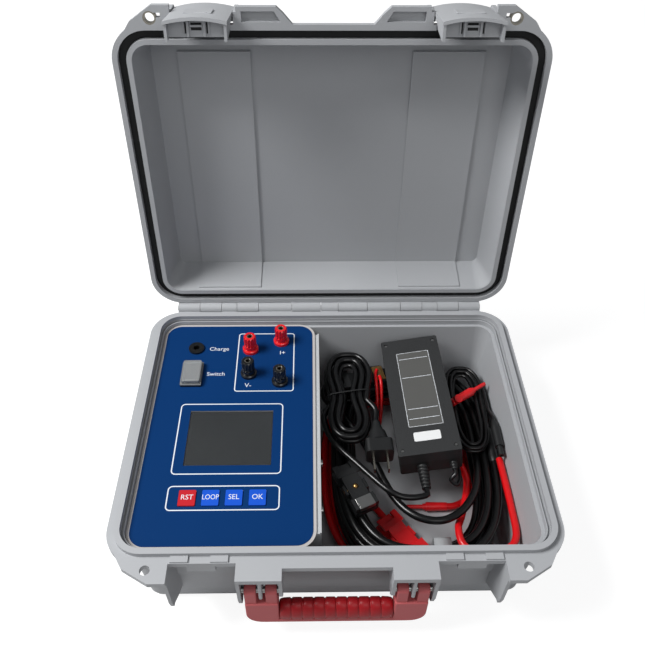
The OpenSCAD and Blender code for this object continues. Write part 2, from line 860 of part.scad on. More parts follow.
module switch_rocker() {
    color("#202224")
    translate([rock_xy[0] - rock_w / 2 + 2.7, rock_xy[1], face_z - 3])
        rotate([10, 0, 0])
            difference() {
                upright([[-11, 5.2], [0, 3.6], [11, 5.2], [10.6, -2], [3, -5], [-3, -5], [-10.6, -2]],
                    0, rock_w - 5.4);
                rod(-over, rock_w, 0, 0, 1.05);
            }
}
module switch_cover() {
    color("#c9cdd0")
    translate([rock_xy[0], rock_xy[1], 0]) {
        difference() {
            union() {
                translate([0, 0, face_z + 2])
                    soft_box(rock_w, rock_l, 1, over);
                translate([0, 0, face_z + 3 - eps])
                    soft_box(rock_w - 2.4, rock_l - 2.4, 4, 2 * over);
            }
            translate([0, 0, face_z + 2 - over])
                soft_box(rock_w - 4.4, rock_l - 4.4, 4 + over, over);
        }
    }
}
module collars(list) {
    for (q = list)
        translate([q[0], q[1], 0])
            difference() {
                union() {
                    translate([0, 0, face_z])
                        cylinder(h = collar_h - over, r = collar_r);
                    translate([0, 0, face_z + collar_h - over])
                        cylinder(h = over, r1 = collar_r, r2 = collar_r - over);
                    translate([0, 0, pocket_z])
                        cylinder(h = face_z - pocket_z + over, r = stud_r + 1.1);
                }
                translate([0, 0, pocket_z - over])
                    cylinder(h = cap_h + 10, r = stud_r);
            }
}
module post_collars_red() {
    color("#e8161c")
        collars([post_xy[0], post_xy[1]]);
}
module post_collars_black() {
    color("#141516")
        collars([post_xy[2], post_xy[3]]);
}
module post_studs() {
    top = face_z + collar_h + cap_h;
    color("#b8b2a4")
    for (q = post_xy)
        translate([q[0], q[1], 0])
            difference() {
                translate([0, 0, pocket_z - stud_low])
                    cylinder(h = top - over / 2 - pocket_z + stud_low, r = stud_r);
                translate([0, 0, top - socket_deep])
                    cylinder(h = socket_deep + over, r = socket_r);
            }
}
module post_nuts() {
    color("#b8b2a4")
    for (q = post_xy)
        translate([q[0], q[1], pocket_z - 4.5])
            difference() {
                union() {
                    cylinder(h = 3.5, r = 5.6, $fn = 6);
                    translate([0, 0, 3.5 - eps])
                        cylinder(h = over, r = 6.4);
                }
                translate([0, 0, -over])
                    cylinder(h = 8, r = stud_r);
            }
}
module cap(i) {
    translate([post_xy[i][0], post_xy[i][1], face_z + collar_h + gap])
        difference() {
            union() {
                cylinder(h = cap_h - gap - over, r = cap_d / 2);
                translate([0, 0, cap_h - gap - over])
                    cylinder(h = over, r1 = cap_d / 2, r2 = cap_d / 2 - over);
            }
            translate([0, 0, -over])
                cylinder(h = cap_h + 2 * over, r = stud_r + bore_slack);
            for (a = [0:30:330])
                rotate([0, 0, a])
                    translate([cap_d / 2 + 0.7, 0, 4])
                        cylinder(h = cap_h, r = 1.5, $fn = 16);
        }
}
module cap_red_rear() {
    color("#e8161c")
        cap(0);
}
module cap_red_front() {
    color("#e8161c")
        cap(1);
}
module cap_black_rear() {
    color("#141516")
        cap(2);
}
module cap_black_front() {
    color("#141516")
        cap(3);
}
module screws() {
    color("#b9bbbd")
    for (y = [-38, -84]) {
        rod(divider_x, divider_x + 1.8, y, 84, 3);
        rod(divider_x - 5, divider_x + eps, y, 84, 1.5);
    }
}

// charger frame: its lowest long edge set on the leads under it
module chg_frame() {
    low = chg_w / 2 * sin(chg_roll) + chg_h * cos(chg_roll);
    translate([chg_x, chg_y, black_top + lift + low])
        rotate([0, 0, chg_yaw])
            rotate([0, -chg_roll, 0])
                translate([0, 0, -chg_h])
                    children();
}
module charger_base() {
    color("#26282a")
    chg_frame()
        difference() {
            soft_box(chg_w, chg_l, chg_h * chg_split, 2 * over);
            translate([0, 0, chg_wall])
                soft_box(chg_w - 2 * chg_wall, chg_l - 2 * chg_wall, chg_h, over);
            chg_holes();
        }
}
module charger_cover() {
    color("#303234")
    chg_frame()
        difference() {
            translate([0, 0, chg_h * chg_split])
                soft_box(chg_w, chg_l, chg_h * (1 - chg_split), 2 * over);
            translate([0, 0, chg_wall])
                soft_box(chg_w - 2 * chg_wall, chg_l - 2 * chg_wall, chg_h - 2 * chg_wall, over);
            for (i = [-1, 1])
                for (j = [-1, 1])
                    translate([i * chg_w * 0.42, j * chg_l * 0.46, chg_h - 1.2])
                        cylinder(h = 2, r = 1.8);
        }
}
module chg_holes() {
    for (q = [[-8, 4.5], [20, 3]])
        translate([q[0], -chg_l / 2 + chg_wall + over, 9])
            rotate([90, 0, 0])
                cylinder(h = chg_wall + 2 * over, r = q[1] - 1.2);
}
module charger_relief() {
    color("#17181a")
    chg_frame() {
        translate([-8, -chg_l / 2 + chg_wall, 9])
            rotate([90, 0, 0])
                difference() {
                    union() {
                        cylinder(h = chg_wall + over, r = 3.3);
                        translate([0, 0, chg_wall])
                            cylinder(h = 24, r1 = 5.2, r2 = 3.9);
                    }
                    translate([0, 0, 24 + chg_wall - mains_d])
                        cylinder(h = mains_d + over, r = mains_d / 2 + eps);
                }
        translate([20, -chg_l / 2 + chg_wall, 9])
            rotate([90, 0, 0])
                difference() {
                    union() {
                        cylinder(h = chg_wall + over, r = 1.8);
                        translate([0, 0, chg_wall])
                            cylinder(h = 8, r1 = 3.4, r2 = 2.6);
                    }
                    translate([0, 0, 8 + chg_wall - thin_d])
                        cylinder(h = thin_d + over, r = thin_d / 2 + eps);
                }
    }
}
// a point of the charger's frame in the case's frame
function chg_pt(p) =
    let (low = chg_w / 2 * sin(chg_roll) + chg_h * cos(chg_roll), z = p[2] - chg_h)
    let (x1 = p[0] * cos(chg_roll) - z * sin(chg_roll), z1 = p[0] * sin(chg_roll) + z * cos(chg_roll))
    [chg_x + x1 * cos(chg_yaw) - p[1] * sin(chg_yaw), chg_y + x1 * sin(chg_yaw) + p[1] * cos(chg_yaw),
    black_top + lift + low + z1];
relief_end = chg_pt([-8, -chg_l / 2 - 24 + mains_d, 9]);
relief_out = chg_pt([-8, -chg_l / 2 - 24 - mains_d, 9]);
thin_end = chg_pt([20, -chg_l / 2 - 8 + thin_d, 9]);
thin_out = chg_pt([20, -chg_l / 2 - 8 - thin_d, 9]);
// where a cord leaves a coil's first or last ring, and a point a way out from it
function coil_in(p, d) = [p[0] - d * heading(p, 0), p[0]];
function coil_out(p, d) = [p[len(p) - 1], p[len(p) - 1] + d * heading(p, len(p) - 1)];
clip_cord_z = 5.7;
clip_cord_in = 4;
clip_spots = [[6.5, 76, clip_z, 12], [9, -24, clip_z, -65], [49.2, -49.1, floor_t + lift, -53]];
function clip_pt(i, x) =
    let (q = clip_spots[i])
    [q[0] + x * cos(q[3]), q[1] + x * sin(q[3]), q[2] + clip_cord_z];
plug_spot = [41.5, 17, 70];
plug_turn = 2;
function plug_pt(x) = plug_spot + [x * sin(plug_turn), -x * cos(plug_turn), 0];
// free stretches, each from the piece it leaves to the piece it enters
mains_a = concat([relief_end, relief_out], [[64, -61, 65], [49, -56, 67.6], [33, -40, 67.8], [20, -25, 67.6],
    [9, -13, 67.4], [0, 0, hank_z], [-5.2, 13, hank_z], [-7.3, 28, hank_z]], coil_in(hank_pts, mains_d));
mains_b = concat(coil_out(hank_pts, mains_d), [[41.6, 32, 72]], [plug_pt(-mains_d / 2), plug_pt(mains_d)]);
thin_a = concat([thin_end, thin_out], [[105, -42, 63], [111, -44, 58], [115.5, -34, 55], [115.5, -16, thin_z + 0.4],
    [114.2, 10, thin_z + 0.2]], coil_in(thin_pts, thin_d * 2));
thin_b = concat(coil_out(thin_pts, thin_d), [[154.5, 33, 62], [155, 22 + thin_d, 64.6], [155, 18, 64.6]]);
black_a = concat(coil_out(black_pts, black_d),
    [[133.5, -26, 50.5], [127, -48, 54], [113, -68, 56.5], [94, -79, 57.5], [74, -76, 57], [58, -62, 56],
    [47, -40, 55.4], [38, -14, 55.2], [27, 12, 55.2], [13, 34, 55.2], [3, 47, 55.2], [-4.6, 58, 55.5],
    [-6.6, 66, 56], [-4.6, 72.2, 56.6]], [clip_pt(0, -black_d), clip_pt(0, clip_cord_in)]);
red_a = concat(coil_out(red_pts, red_d), [[10.5, -16, 14.2], [19, -26, 12.6], [31, -31.5, 11.2], [40.5, -37.8, 10.2]],
    [clip_pt(2, -red_d / 2), clip_pt(2, clip_cord_in)]);
red_b = concat([[105, -36, 8.6], [109 + red_d / 2, -36, 8.6]], [[120, -34, 8.4], [128, -28, 8], [132, -19, 7.7]],
    coil_in(red_pts, red_d));

module charger_lead_start() {
    color("#121314")
        tube(smooth(thin_a, 3), thin_d / 2, 8);
}
module charger_lead_coil() {
    color("#121314")
        tube(thin_pts, thin_d / 2, 6);
}
module charger_lead_end() {
    color("#121314")
        tube(smooth(thin_b, 3), thin_d / 2, 8);
}
module charger_plug() {
    color("#161718")
    translate([155, 22, 64.6])
        rotate([90, 0, 0])
            difference() {
                union() {
                    cylinder(h = 8, r1 = 2.6, r2 = 4);
                    translate([0, 0, 8])
                        cylinder(h = 22, r = 4.2);
                    translate([0, 0, 30 - eps])
                        cylinder(h = 9.5, r = 2.75);
                }
                translate([0, 0, -over])
                    cylinder(h = 4 + over, r = thin_d / 2);
                translate([0, 0, 32])
                    cylinder(h = 10, r = 1.3);
            }
}
module mains_cord_start() {
    color("#121314")
        tube(smooth(mains_a, 3), mains_d / 2, 8);
}
module mains_cord_hank() {
    color("#121314")
        tube(hank_pts, mains_d / 2, 6);
}
module mains_cord_end() {
    color("#121314")
        tube(smooth(mains_b, 3), mains_d / 2, 8);
}
module plug_frame() {
    translate(plug_spot)
        rotate([0, 0, plug_turn])
            rotate([90, 0, 0])
                children();
}
module mains_plug() {
    color("#151617")
    plug_frame()
        difference() {
            union() {
                cylinder(h = 12, r1 = 4, r2 = 6);
                translate([0, 0, 12 - eps])
                    cylinder(h = 12, r1 = 8, r2 = 10.5);
                translate([0, 0, 24 - eps])
                    soft_box(25, 19, 14, 4);
            }
            translate([0, 0, -over])
                cylinder(h = mains_d + over, r = mains_d / 2);
            for (i = [-1, 1])
                translate([i * 6.35 - 0.85, -3.25, 34])
                    cube([1.7, 6.5, 6]);
        }
}
module mains_blades() {
    color("#b8b2a4")
    plug_frame()
        for (i = [-1, 1])
            difference() {
                translate([i * 6.35 - 0.75, -3.15, 34])
                    cube([1.5, 6.3, 20]);
                translate([i * 6.35 - 2, 0, 50])
                    rotate([0, 90, 0])
                        cylinder(h = 4, r = 1.5);
            }
}
module black_lead_coil() {
    color("#121314")
        tube(black_pts, black_d / 2, 6);
}
module black_lead_tail() {
    color("#121314")
        tube(smooth(black_a, 2), black_d / 2, 10);
}
// banana plug along -Y from its cord end
module banana(body, r, bore) {
    rotate([90, 0, 0])
        difference() {
            union() {
                cylinder(h = body, r1 = r * 0.9, r2 = r);
                translate([0, 0, body - eps])
                    cylinder(h = 3, r = r * 0.7);
                translate([0, 0, body + 3 - 2 * eps])
                    cylinder(h = 15, r = 1.95);
            }
            translate([0, 0, -over])
                cylinder(h = over + 4, r = bore);
        }
}
module black_banana() {
    h = heading(black_pts, 0);
    color("#151617")
        translate(black_pts[0])
            rotate([0, 0, atan2(h[1], h[0]) - 90])
                rotate([90, 0, 0]) {
                    cylinder(h = 16, r = 3.7);
                    translate([0, 0, 16 - eps])
                        cylinder(h = 17, r = 1.95);
                }
}
module red_lead_coil() {
    color("#c8141a")
        tube(red_pts, red_d / 2, 6);
}
module red_lead_tail() {
    color("#c8141a")
        tube(smooth(red_a, 3), red_d / 2, 10);
}
module red_lead_start() {
    color("#c8141a")
        tube(smooth(red_b, 3), red_d / 2, 10);
}
module red_bananas() {
    color("#d8161c") {
        translate([109, -36, 8.6])
            rotate([0, 0, -90])
                banana(20, 4.3, red_d / 2 + eps);
        translate([118, 45, thin_top + lift + 4.3])
            rotate([0, 0, 90 + 33.5])
                union() {
                    banana(26, 4.3, 1.5);
                    translate([0, -5, 0])
                        rotate([0, -25, 0])
                            cylinder(h = 8, r = 4);
                }
    }
}
// clip drawn along +X from its lead end, floor at zero
clip_low = [[0, 0], [48, 0], [48, 5.2], [36, 5.2], [31, 3.4], [19, 3.4], [14, 2.6], [0, 2.2]];
clip_up = [[0, 12], [12, 12], [20, 10.2], [36, 10.2], [41, 12], [48, 12], [48, 6.6], [36, 6.6], [30, 4.6],
    [20, 4.6], [14, 9.2], [0, 9.4]];
clip_pivot = [25, 7.2];
module clip_frame(i) {
    q = clip_spots[i];
    translate([q[0], q[1], q[2]])
        rotate([0, 0, q[3]])
            children();
}
module clip_side(pts, w) {
    translate([0, w / 2, 0])
        rotate([90, 0, 0])
            linear_extrude(height = w)
                polygon(pts);
}
module clip_lower(d) {
    difference() {
        union() {
            clip_side(clip_low, clip_w);
            for (s = [-1, 1])
                translate([clip_pivot[0] - 5, s * (clip_w / 2 - 1.2) - 1.2, 2])
                    cube([10, 2.4, 7.4]);
            translate([0, -4.6, 0])
                cube([6, 9.2, 9.8]);
        }
        translate([clip_pivot[0], -clip_w, clip_pivot[1]])
            rotate([-90, 0, 0])
                cylinder(h = 2 * clip_w, r = 1.5);
        translate([-over, 0, clip_cord_z])
            rotate([0, 90, 0])
                cylinder(h = clip_cord_in + over, r = d / 2);
    }
}
module clip_lowers() {
    color("#17181a") {
        clip_frame(0)
            clip_lower(black_d);
        clip_frame(1)
            clip_lower(2 * socket_r);
    }
    color("#c8141a")
        clip_frame(2)
            clip_lower(red_d);
}
module clip_upper() {
    difference() {
        union() {
            clip_side(clip_up, clip_w - 6);
            translate([0, -clip_w / 2, 10.4])
                cube([13, clip_w, 1.6]);
            translate([37, -clip_w / 2, 6.6])
                cube([11, clip_w, 5.4]);
        }
        translate([clip_pivot[0], -clip_w, clip_pivot[1]])
            rotate([-90, 0, 0])
                cylinder(h = 2 * clip_w, r = 1.5 + bore_slack);
        translate([-over, -5.4, 8])
            cube([8, 10.8, 6]);
    }
}
module clip_rear_upper() {
    color("#17181a")
        clip_frame(0)
            clip_upper();
}
module clip_front_upper() {
    color("#17181a")
        clip_frame(1)
            clip_upper();
}
module clip_red_upper() {
    color("#c8141a")
        clip_frame(2)
            clip_upper();
}
module clip_pins() {
    color("#b8b2a4")
    for (i = [0:2])
        clip_frame(i)
            translate([clip_pivot[0], -clip_w / 2, clip_pivot[1]])
                rotate([-90, 0, 0])
                    cylinder(h = clip_w, r = 1.5);
}

base_shell();
lid_shell();
lid_seal();
hinge_pin();
padlock_bushings();
latch_left();
latch_right();
latch_pins();
handle_core();
handle_grip();
handle_pins();
instrument_chassis();
panel_plate();
panel_overlay();
lcd_window();
lcd_module();
key_board();
key_reset();
key_loop();
key_select();
key_ok();
main_board();
battery_pack();
dc_socket();
switch_housing();
switch_rocker();
switch_cover();
post_collars_red();
post_collars_black();
post_studs();
post_nuts();
cap_red_rear();
cap_red_front();
cap_black_rear();
cap_black_front();
screws();
charger_cover();
charger_base();
charger_relief();
charger_lead_start();
charger_lead_coil();
charger_lead_end();
charger_plug();
mains_cord_start();
mains_cord_hank();
mains_cord_end();
mains_plug();
mains_blades();
black_lead_coil();
black_lead_tail();
black_banana();
red_lead_coil();
red_lead_tail();
red_lead_start();
red_bananas();
clip_lowers();
clip_rear_upper();
clip_front_upper();
clip_red_upper();
clip_pins();
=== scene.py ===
# %% [markdown]
# # A winding tester in its case
# The real object is a grey moulded case that stands open. A blue instrument panel fills its left
# half, and the right half is a tray with a charger and two thick test leads.
# The construction model gives every rigid part its place, so this lesson only adds looks:
# finishes, cords, printed lines and the small moulded details.

# %% Load the construction model
import bpy, bmesh, math
from mathutils import Matrix, Vector

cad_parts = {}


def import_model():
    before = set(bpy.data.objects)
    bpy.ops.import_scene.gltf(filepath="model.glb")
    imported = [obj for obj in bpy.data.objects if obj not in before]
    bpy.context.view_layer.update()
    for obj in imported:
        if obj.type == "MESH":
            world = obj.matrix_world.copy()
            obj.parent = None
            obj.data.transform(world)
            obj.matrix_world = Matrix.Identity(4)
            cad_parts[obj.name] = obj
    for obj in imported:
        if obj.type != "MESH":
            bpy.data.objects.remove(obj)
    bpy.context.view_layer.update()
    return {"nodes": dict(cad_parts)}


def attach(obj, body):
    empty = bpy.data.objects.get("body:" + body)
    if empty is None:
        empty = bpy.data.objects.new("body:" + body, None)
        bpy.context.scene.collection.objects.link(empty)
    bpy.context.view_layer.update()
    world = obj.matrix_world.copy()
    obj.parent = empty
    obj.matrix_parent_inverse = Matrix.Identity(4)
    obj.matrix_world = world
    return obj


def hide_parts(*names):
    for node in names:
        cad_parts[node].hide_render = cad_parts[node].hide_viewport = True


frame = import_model()
nodes = frame["nodes"]
MM = 0.001

# %% [markdown]
# ## The camera
# The photograph looks down at about 44 degrees from close in front, so the lid spreads out
# towards the top. The camera's place was fitted to the case's rim, and is written here as a
# point, three angles and a focal length in pixels. The three axes of the view are worked out
# from the angles, because that keeps yaw, pitch and roll apart.

# %% Camera
FOCAL_PX, FRAME_PX = 713.0, 645.0
SENSOR_MM = 36.0
CAMERA_AT = Vector((-18.5, -399.0, 607.0)) * MM
YAW, PITCH, ROLL = (math.radians(a) for a in (1.2, -44.2, 0.55))


def view_axes(yaw, pitch, roll):
    look = Vector((math.sin(yaw) * math.cos(pitch), math.cos(yaw) * math.cos(pitch),
                   math.sin(pitch)))
    right = look.cross(Vector((0, 0, 1))).normalized()
    up = right.cross(look)
    return (right * math.cos(roll) + up * math.sin(roll),
            up * math.cos(roll) - right * math.sin(roll), look)


right, up, look = view_axes(YAW, PITCH, ROLL)
camera_data = bpy.data.cameras.new("camera")
camera_data.sensor_width = SENSOR_MM
camera_data.lens = FOCAL_PX / FRAME_PX * SENSOR_MM
camera_data.clip_start = 0.01
camera = bpy.data.objects.new("camera", camera_data)
view_turn = Matrix((right, up, -look)).transposed().to_4x4()
camera.matrix_world = Matrix.Translation(CAMERA_AT) @ view_turn
bpy.context.scene.collection.objects.link(camera)
bpy.context.scene.camera = camera
print("lens", round(camera_data.lens, 2))

# %% [markdown]
# ## Finishes
# Every finish is a Principled shader with a fine pattern on Object coordinates. A noise moves
# the colour a little, as in real mouldings, and a second, finer noise makes the grain of the
# surface through a Bump node. One helper makes them all, so each finish is one short line.

# %% Finish helper
def noise_of(tree, place, scale, detail):
    noise = tree.nodes.new("ShaderNodeTexNoise")
    noise.inputs["Scale"].default_value = scale
    noise.inputs["Detail"].default_value = detail
    tree.links.new(place.outputs["Object"], noise.inputs["Vector"])
    return noise


GRAIN_DEPTH = 0.0004


def finish_of(name, colour, rough=0.5, grain=900.0, bump=0.15, vary=0.06, metal=0.0, coat=0.0,
              patch=18.0, spec=0.5):
    mat = bpy.data.materials.new(name)
    mat.use_nodes = True
    tree = mat.node_tree
    shader = tree.nodes["Principled BSDF"]
    place = tree.nodes.new("ShaderNodeTexCoord")
    cloud = noise_of(tree, place, patch, 4.0)
    shade = tree.nodes.new("ShaderNodeMix")
    shade.data_type = "RGBA"
    shade.inputs["A"].default_value = tuple(c * (1 - vary) for c in colour) + (1,)
    shade.inputs["B"].default_value = tuple(min(1, c * (1 + vary)) for c in colour) + (1,)
    tree.links.new(cloud.outputs["Fac"], shade.inputs["Factor"])
    tree.links.new(shade.outputs["Result"], shader.inputs["Base Color"])
    fine = noise_of(tree, place, grain, 2.0)
    rise = tree.nodes.new("ShaderNodeBump")
    rise.inputs["Strength"].default_value = bump
    rise.inputs["Distance"].default_value = GRAIN_DEPTH
    tree.links.new(fine.outputs["Fac"], rise.inputs["Height"])
    tree.links.new(rise.outputs["Normal"], shader.inputs["Normal"])
    for socket, value in (("Roughness", rough), ("Metallic", metal), ("Coat Weight", coat),
                          ("Specular IOR Level", spec)):
        shader.inputs[socket].default_value = value
    return mat


def srgb(r, g, b):
    return tuple((c / 255 / 12.92) if c <= 10 else ((c / 255 + 0.055) / 1.055) ** 2.4
                 for c in (r, g, b))


print("white in linear light", srgb(255, 255, 255))

# %% [markdown]
# Each line below is one finish: its name, its colour as seen on a screen, its roughness, how
# fine the grain is, how deep the grain is and how much the colour changes over the surface.
# The mouldings are dull, the posts and cords have a shine, and the printed film has almost no
# gloss, because the photograph shows no glare on it.

# %% The finishes
case_grey = finish_of("case_grey", srgb(168, 170, 173), 0.52, 1100, 0.25, 0.03)
latch_grey = finish_of("latch_grey", srgb(172, 174, 177), 0.45, 1100, 0.2, 0.03)
# the seal's own black, which the latch covers also use as painted shade in their slot and gaps
seal_black = finish_of("seal_black", srgb(18, 19, 20), 0.7, 600, 0.3, 0.1)
dull_red = finish_of("handle_dull_red", srgb(186, 92, 94), 0.55, 900, 0.25, 0.05, spec=0.35)
grip_red = finish_of("grip_red", srgb(152, 18, 26), 0.4, 700, 0.2, 0.05, spec=0.35)
panel_trim = finish_of("panel_trim", srgb(186, 182, 180), 0.4, 1500, 0.1, 0.03)
panel_blue = finish_of("panel_blue", srgb(10, 51, 102), 0.5, 1800, 0.1, 0.04, spec=0.04)
sheet_grey = finish_of("sheet_grey", srgb(184, 186, 188), 0.35, 1200, 0.1, 0.03)
board_green = finish_of("board_green", srgb(28, 86, 50), 0.35, 400, 0.1, 0.08)
key_red = finish_of("key_red", srgb(190, 34, 44), 0.4, 1200, 0.08, 0.03, spec=0.2)
key_blue = finish_of("key_blue", srgb(24, 84, 200), 0.4, 1200, 0.08, 0.03, spec=0.2)
cell_blue = finish_of("cell_blue", srgb(45, 95, 160), 0.3, 500, 0.1, 0.05)
gloss_black = finish_of("gloss_black", srgb(20, 21, 22), 0.28, 800, 0.08, 0.1, coat=0.3)
post_red = finish_of("post_red", srgb(222, 24, 30), 0.25, 800, 0.06, 0.06, coat=0.4)
plug_black = finish_of("plug_black", srgb(24, 25, 26), 0.45, 900, 0.2, 0.1)
plug_red = finish_of("plug_red", srgb(206, 22, 28), 0.35, 800, 0.1, 0.06, coat=0.2)
cord_black = finish_of("cord_black", srgb(11, 11, 12), 0.28, 500, 0.12, 0.15, spec=0.45)
cord_red = finish_of("cord_red", srgb(205, 16, 22), 0.3, 500, 0.1, 0.08, spec=0.4)
steel = finish_of("steel", srgb(170, 170, 168), 0.3, 1500, 0.08, 0.08, metal=1.0)
plated = finish_of("plated", srgb(196, 190, 176), 0.25, 1200, 0.06, 0.08, metal=1.0)
brass = finish_of("brass", srgb(178, 140, 88), 0.35, 900, 0.15, 0.12, metal=1.0)
charger_black = finish_of("charger_black", srgb(42, 43, 44), 0.6, 700, 0.6, 0.08, spec=0.35)
# the base is a darker copy of the cover's black: painted shade for the charger's lower part
charger_low_shade = finish_of("charger_low_painted_shade", srgb(34, 34, 34), 0.6, 700, 0.5, 0.08, spec=0.35)
label_grey = finish_of("label_grey", srgb(84, 84, 82), 0.4, 1500, 0.05, 0.04)
paper_white = finish_of("paper_white", srgb(225, 226, 226), 0.6, 1500, 0.05, 0.02)
print_white = finish_of("print_white", srgb(225, 230, 236), 0.5, 1500, 0.03, 0.02)
screen_body = finish_of("screen_body", srgb(66, 68, 67), 0.35, 900, 0.05, 0.04)
print("finishes", len(bpy.data.materials))

# %% [markdown]
# The screen's window and the switch's cover are clear. A Principled shader with transmission
# makes them glass.

# %% Clear plastics
CLEAR_IOR = 1.45


def clear_of(name, colour, rough, through):
    mat = finish_of(name, colour, rough, 1500, 0.02, 0.02)
    mat.node_tree.nodes["Principled BSDF"].inputs["Transmission Weight"].default_value = through
    mat.node_tree.nodes["Principled BSDF"].inputs["IOR"].default_value = CLEAR_IOR
    return mat


window_clear = clear_of("window_clear", srgb(130, 134, 136), 0.12, 0.86)
cover_clear = clear_of("cover_clear", srgb(210, 213, 214), 0.12, 0.7)
print("clear", window_clear.name, cover_clear.name)

# %% [markdown]
# The three clips share one node. The red one lies on the floor of the tray, so its colour comes
# from its height: below 30 mm the plastic is red, above it black.

# %% Clip finish
def by_height(name, low_colour, high_colour, z_split):
    mat = finish_of(name, high_colour, 0.4, 800, 0.15, 0.1)
    tree = mat.node_tree
    shader = tree.nodes["Principled BSDF"]
    place = tree.nodes["Texture Coordinate"]
    split = tree.nodes.new("ShaderNodeSeparateXYZ")
    tree.links.new(place.outputs["Object"], split.inputs["Vector"])
    above = tree.nodes.new("ShaderNodeMath")
    above.operation = "GREATER_THAN"
    above.inputs[1].default_value = z_split
    tree.links.new(split.outputs["Z"], above.inputs[0])
    pick = tree.nodes.new("ShaderNodeMix")
    pick.data_type = "RGBA"
    pick.inputs["A"].default_value = tuple(low_colour) + (1,)
    tree.links.new(tree.nodes["Mix"].outputs["Result"], pick.inputs["B"])
    tree.links.new(above.outputs["Value"], pick.inputs["Factor"])
    tree.links.new(pick.outputs["Result"], shader.inputs["Base Color"])
    return mat


clip_two = by_height("clip_two", srgb(206, 22, 28), srgb(24, 25, 26), z_split=0.03)
print("split finish", clip_two.name)

# %% [markdown]
# Now every node of the construction model gets its finish. The list is by finish, because parts
# moulded from one plastic belong together.

# %% Dress the nodes
NODE_FINISH = {
    case_grey: ["base_shell", "lid_shell"],
    latch_grey: ["latch_left", "latch_right"],
    seal_black: ["lid_seal"],
    steel: ["hinge_pin", "latch_pins", "handle_pins", "screws"],
    plated: ["padlock_bushings", "post_studs", "post_nuts", "mains_blades"],
    brass: ["clip_pins"],
    dull_red: ["handle_core"],
    grip_red: ["handle_grip"],
    sheet_grey: ["instrument_chassis"],
    panel_trim: ["panel_plate"],
    panel_blue: ["panel_overlay"],
    window_clear: ["lcd_window"],
    screen_body: ["lcd_module"],
    board_green: ["key_board", "main_board"],
    key_red: ["key_reset"],
    key_blue: ["key_loop", "key_select", "key_ok"],
    cell_blue: ["battery_pack"],
    gloss_black: ["dc_socket", "switch_housing", "switch_rocker", "post_collars_black",
                  "cap_black_rear", "cap_black_front"],
    cover_clear: ["switch_cover"],
    post_red: ["post_collars_red", "cap_red_rear", "cap_red_front"],
    charger_black: ["charger_cover"],
    charger_low_shade: ["charger_base"],
    plug_black: ["charger_relief", "charger_plug", "mains_plug", "black_banana", "clip_rear_upper",
                 "clip_front_upper"],
    plug_red: ["red_bananas", "clip_red_upper"],
    cord_black: ["charger_lead_start", "charger_lead_coil", "charger_lead_end", "mains_cord_start",
                 "mains_cord_hank", "mains_cord_end", "black_lead_coil", "black_lead_tail"],
    cord_red: ["red_lead_coil", "red_lead_tail", "red_lead_start"],
    clip_two: ["clip_lowers"],
}
for finish, names in NODE_FINISH.items():
    for name in names:
        for dressed in nodes[name].material_slots:
            dressed.material = finish
print("dressed", sum(len(n) for n in NODE_FINISH.values()), "of", len(nodes))

# %% [markdown]
# ## The cords
# Four cords lie in the tray: the mains cord in a tied hank, the thin charging lead, and the
# black and the red test lead in big coils. Each is one curve with a round section. Its line
# repeats the route of the construction model: loops on a rounded rectangle that step in and out
# by one pitch a turn, and free stretches through a few points.

# %% Route helpers
def share(c, q=0.72):
    return math.copysign(abs(c) ** q, c)


def loop_number(t, n, out):
    m = n - 0.5
    j = math.floor(t / m + 1e-9)
    w = min(t - j * m, n - 1)
    k = n - 1 - w if j % 2 == 0 else w
    return n - 1 - k if out else k


def layer_number(t, n):
    m = n - 0.5
    j = math.floor(t / m + 1e-9)
    return j + max(0, t - j * m - (n - 1)) * 2


def coil_line(centre, axes, pitch, z, n, layers, start, turn, waist=0.0, out=False, steps=72):
    line = []
    for i in range(round((layers * (n - 1) + (layers - 1) * 0.5) * steps) + 1):
        t = i / steps
        k, a = loop_number(t, n, out), math.radians(start + turn * t * 360)
        x, y = share(math.cos(a)), (axes[1] - pitch * k) * share(math.sin(a))
        pull = waist * math.exp(-((y / 22) ** 2)) * x
        line.append(Vector((centre[0] + (axes[0] - pitch * k) * x - pull, centre[1] + y,
                            z + pitch * layer_number(t, n))))
    return line


def smooth_line(points, m=6):
    p = [Vector(q) for q in points]
    line = [p[0]]
    for i in range(1, len(p) - 2):
        a, b, c, d = p[i - 1:i + 3]
        for s in range(m):
            t = s / m
            line.append(0.5 * (2 * b + (c - a) * t + (2 * a - 5 * b + 4 * c - d) * t * t
                               + (3 * b - a - 3 * c + d) * t ** 3))
    return line + p[-2:]


print("one loop", len(coil_line((0, 0), (10, 10), 1, 0, 2, 1, 0, 1)), "points")

# %% [markdown]
# The charger lies tilted on the leads, so its two cords start at points of its own frame. The
# same small turn gives the places of its label and screws later on.

# %% Charger frame
CHARGER_W, CHARGER_L, CHARGER_H = 57.0, 142.0, 28.0
CHARGER_X, CHARGER_Y, CHARGER_FRONT = 83.5, 43.5, -CHARGER_L / 2
CLIP_Z = 51.25
roll, yaw = math.radians(9), math.radians(2.2)
charger_rise = CHARGER_W / 2 * math.sin(roll) + CHARGER_H * math.cos(roll)
charger_frame = (Matrix.Translation((CHARGER_X, CHARGER_Y, CLIP_Z + charger_rise))
                 @ Matrix.Rotation(yaw, 4, "Z") @ Matrix.Rotation(-roll, 4, "Y")
                 @ Matrix.Translation((0, 0, -CHARGER_H)))


def on_charger(x, y, z):
    return tuple(charger_frame @ Vector((x, y, z)))


print("charger's low front edge", [round(c, 1) for c in on_charger(0, CHARGER_FRONT, 0)])

# %% [markdown]
# The four coils come first. Each has a middle, a half width and half length, a pitch a little
# over its cord's thickness and a number of loops and layers. The black coil lies on the red one.

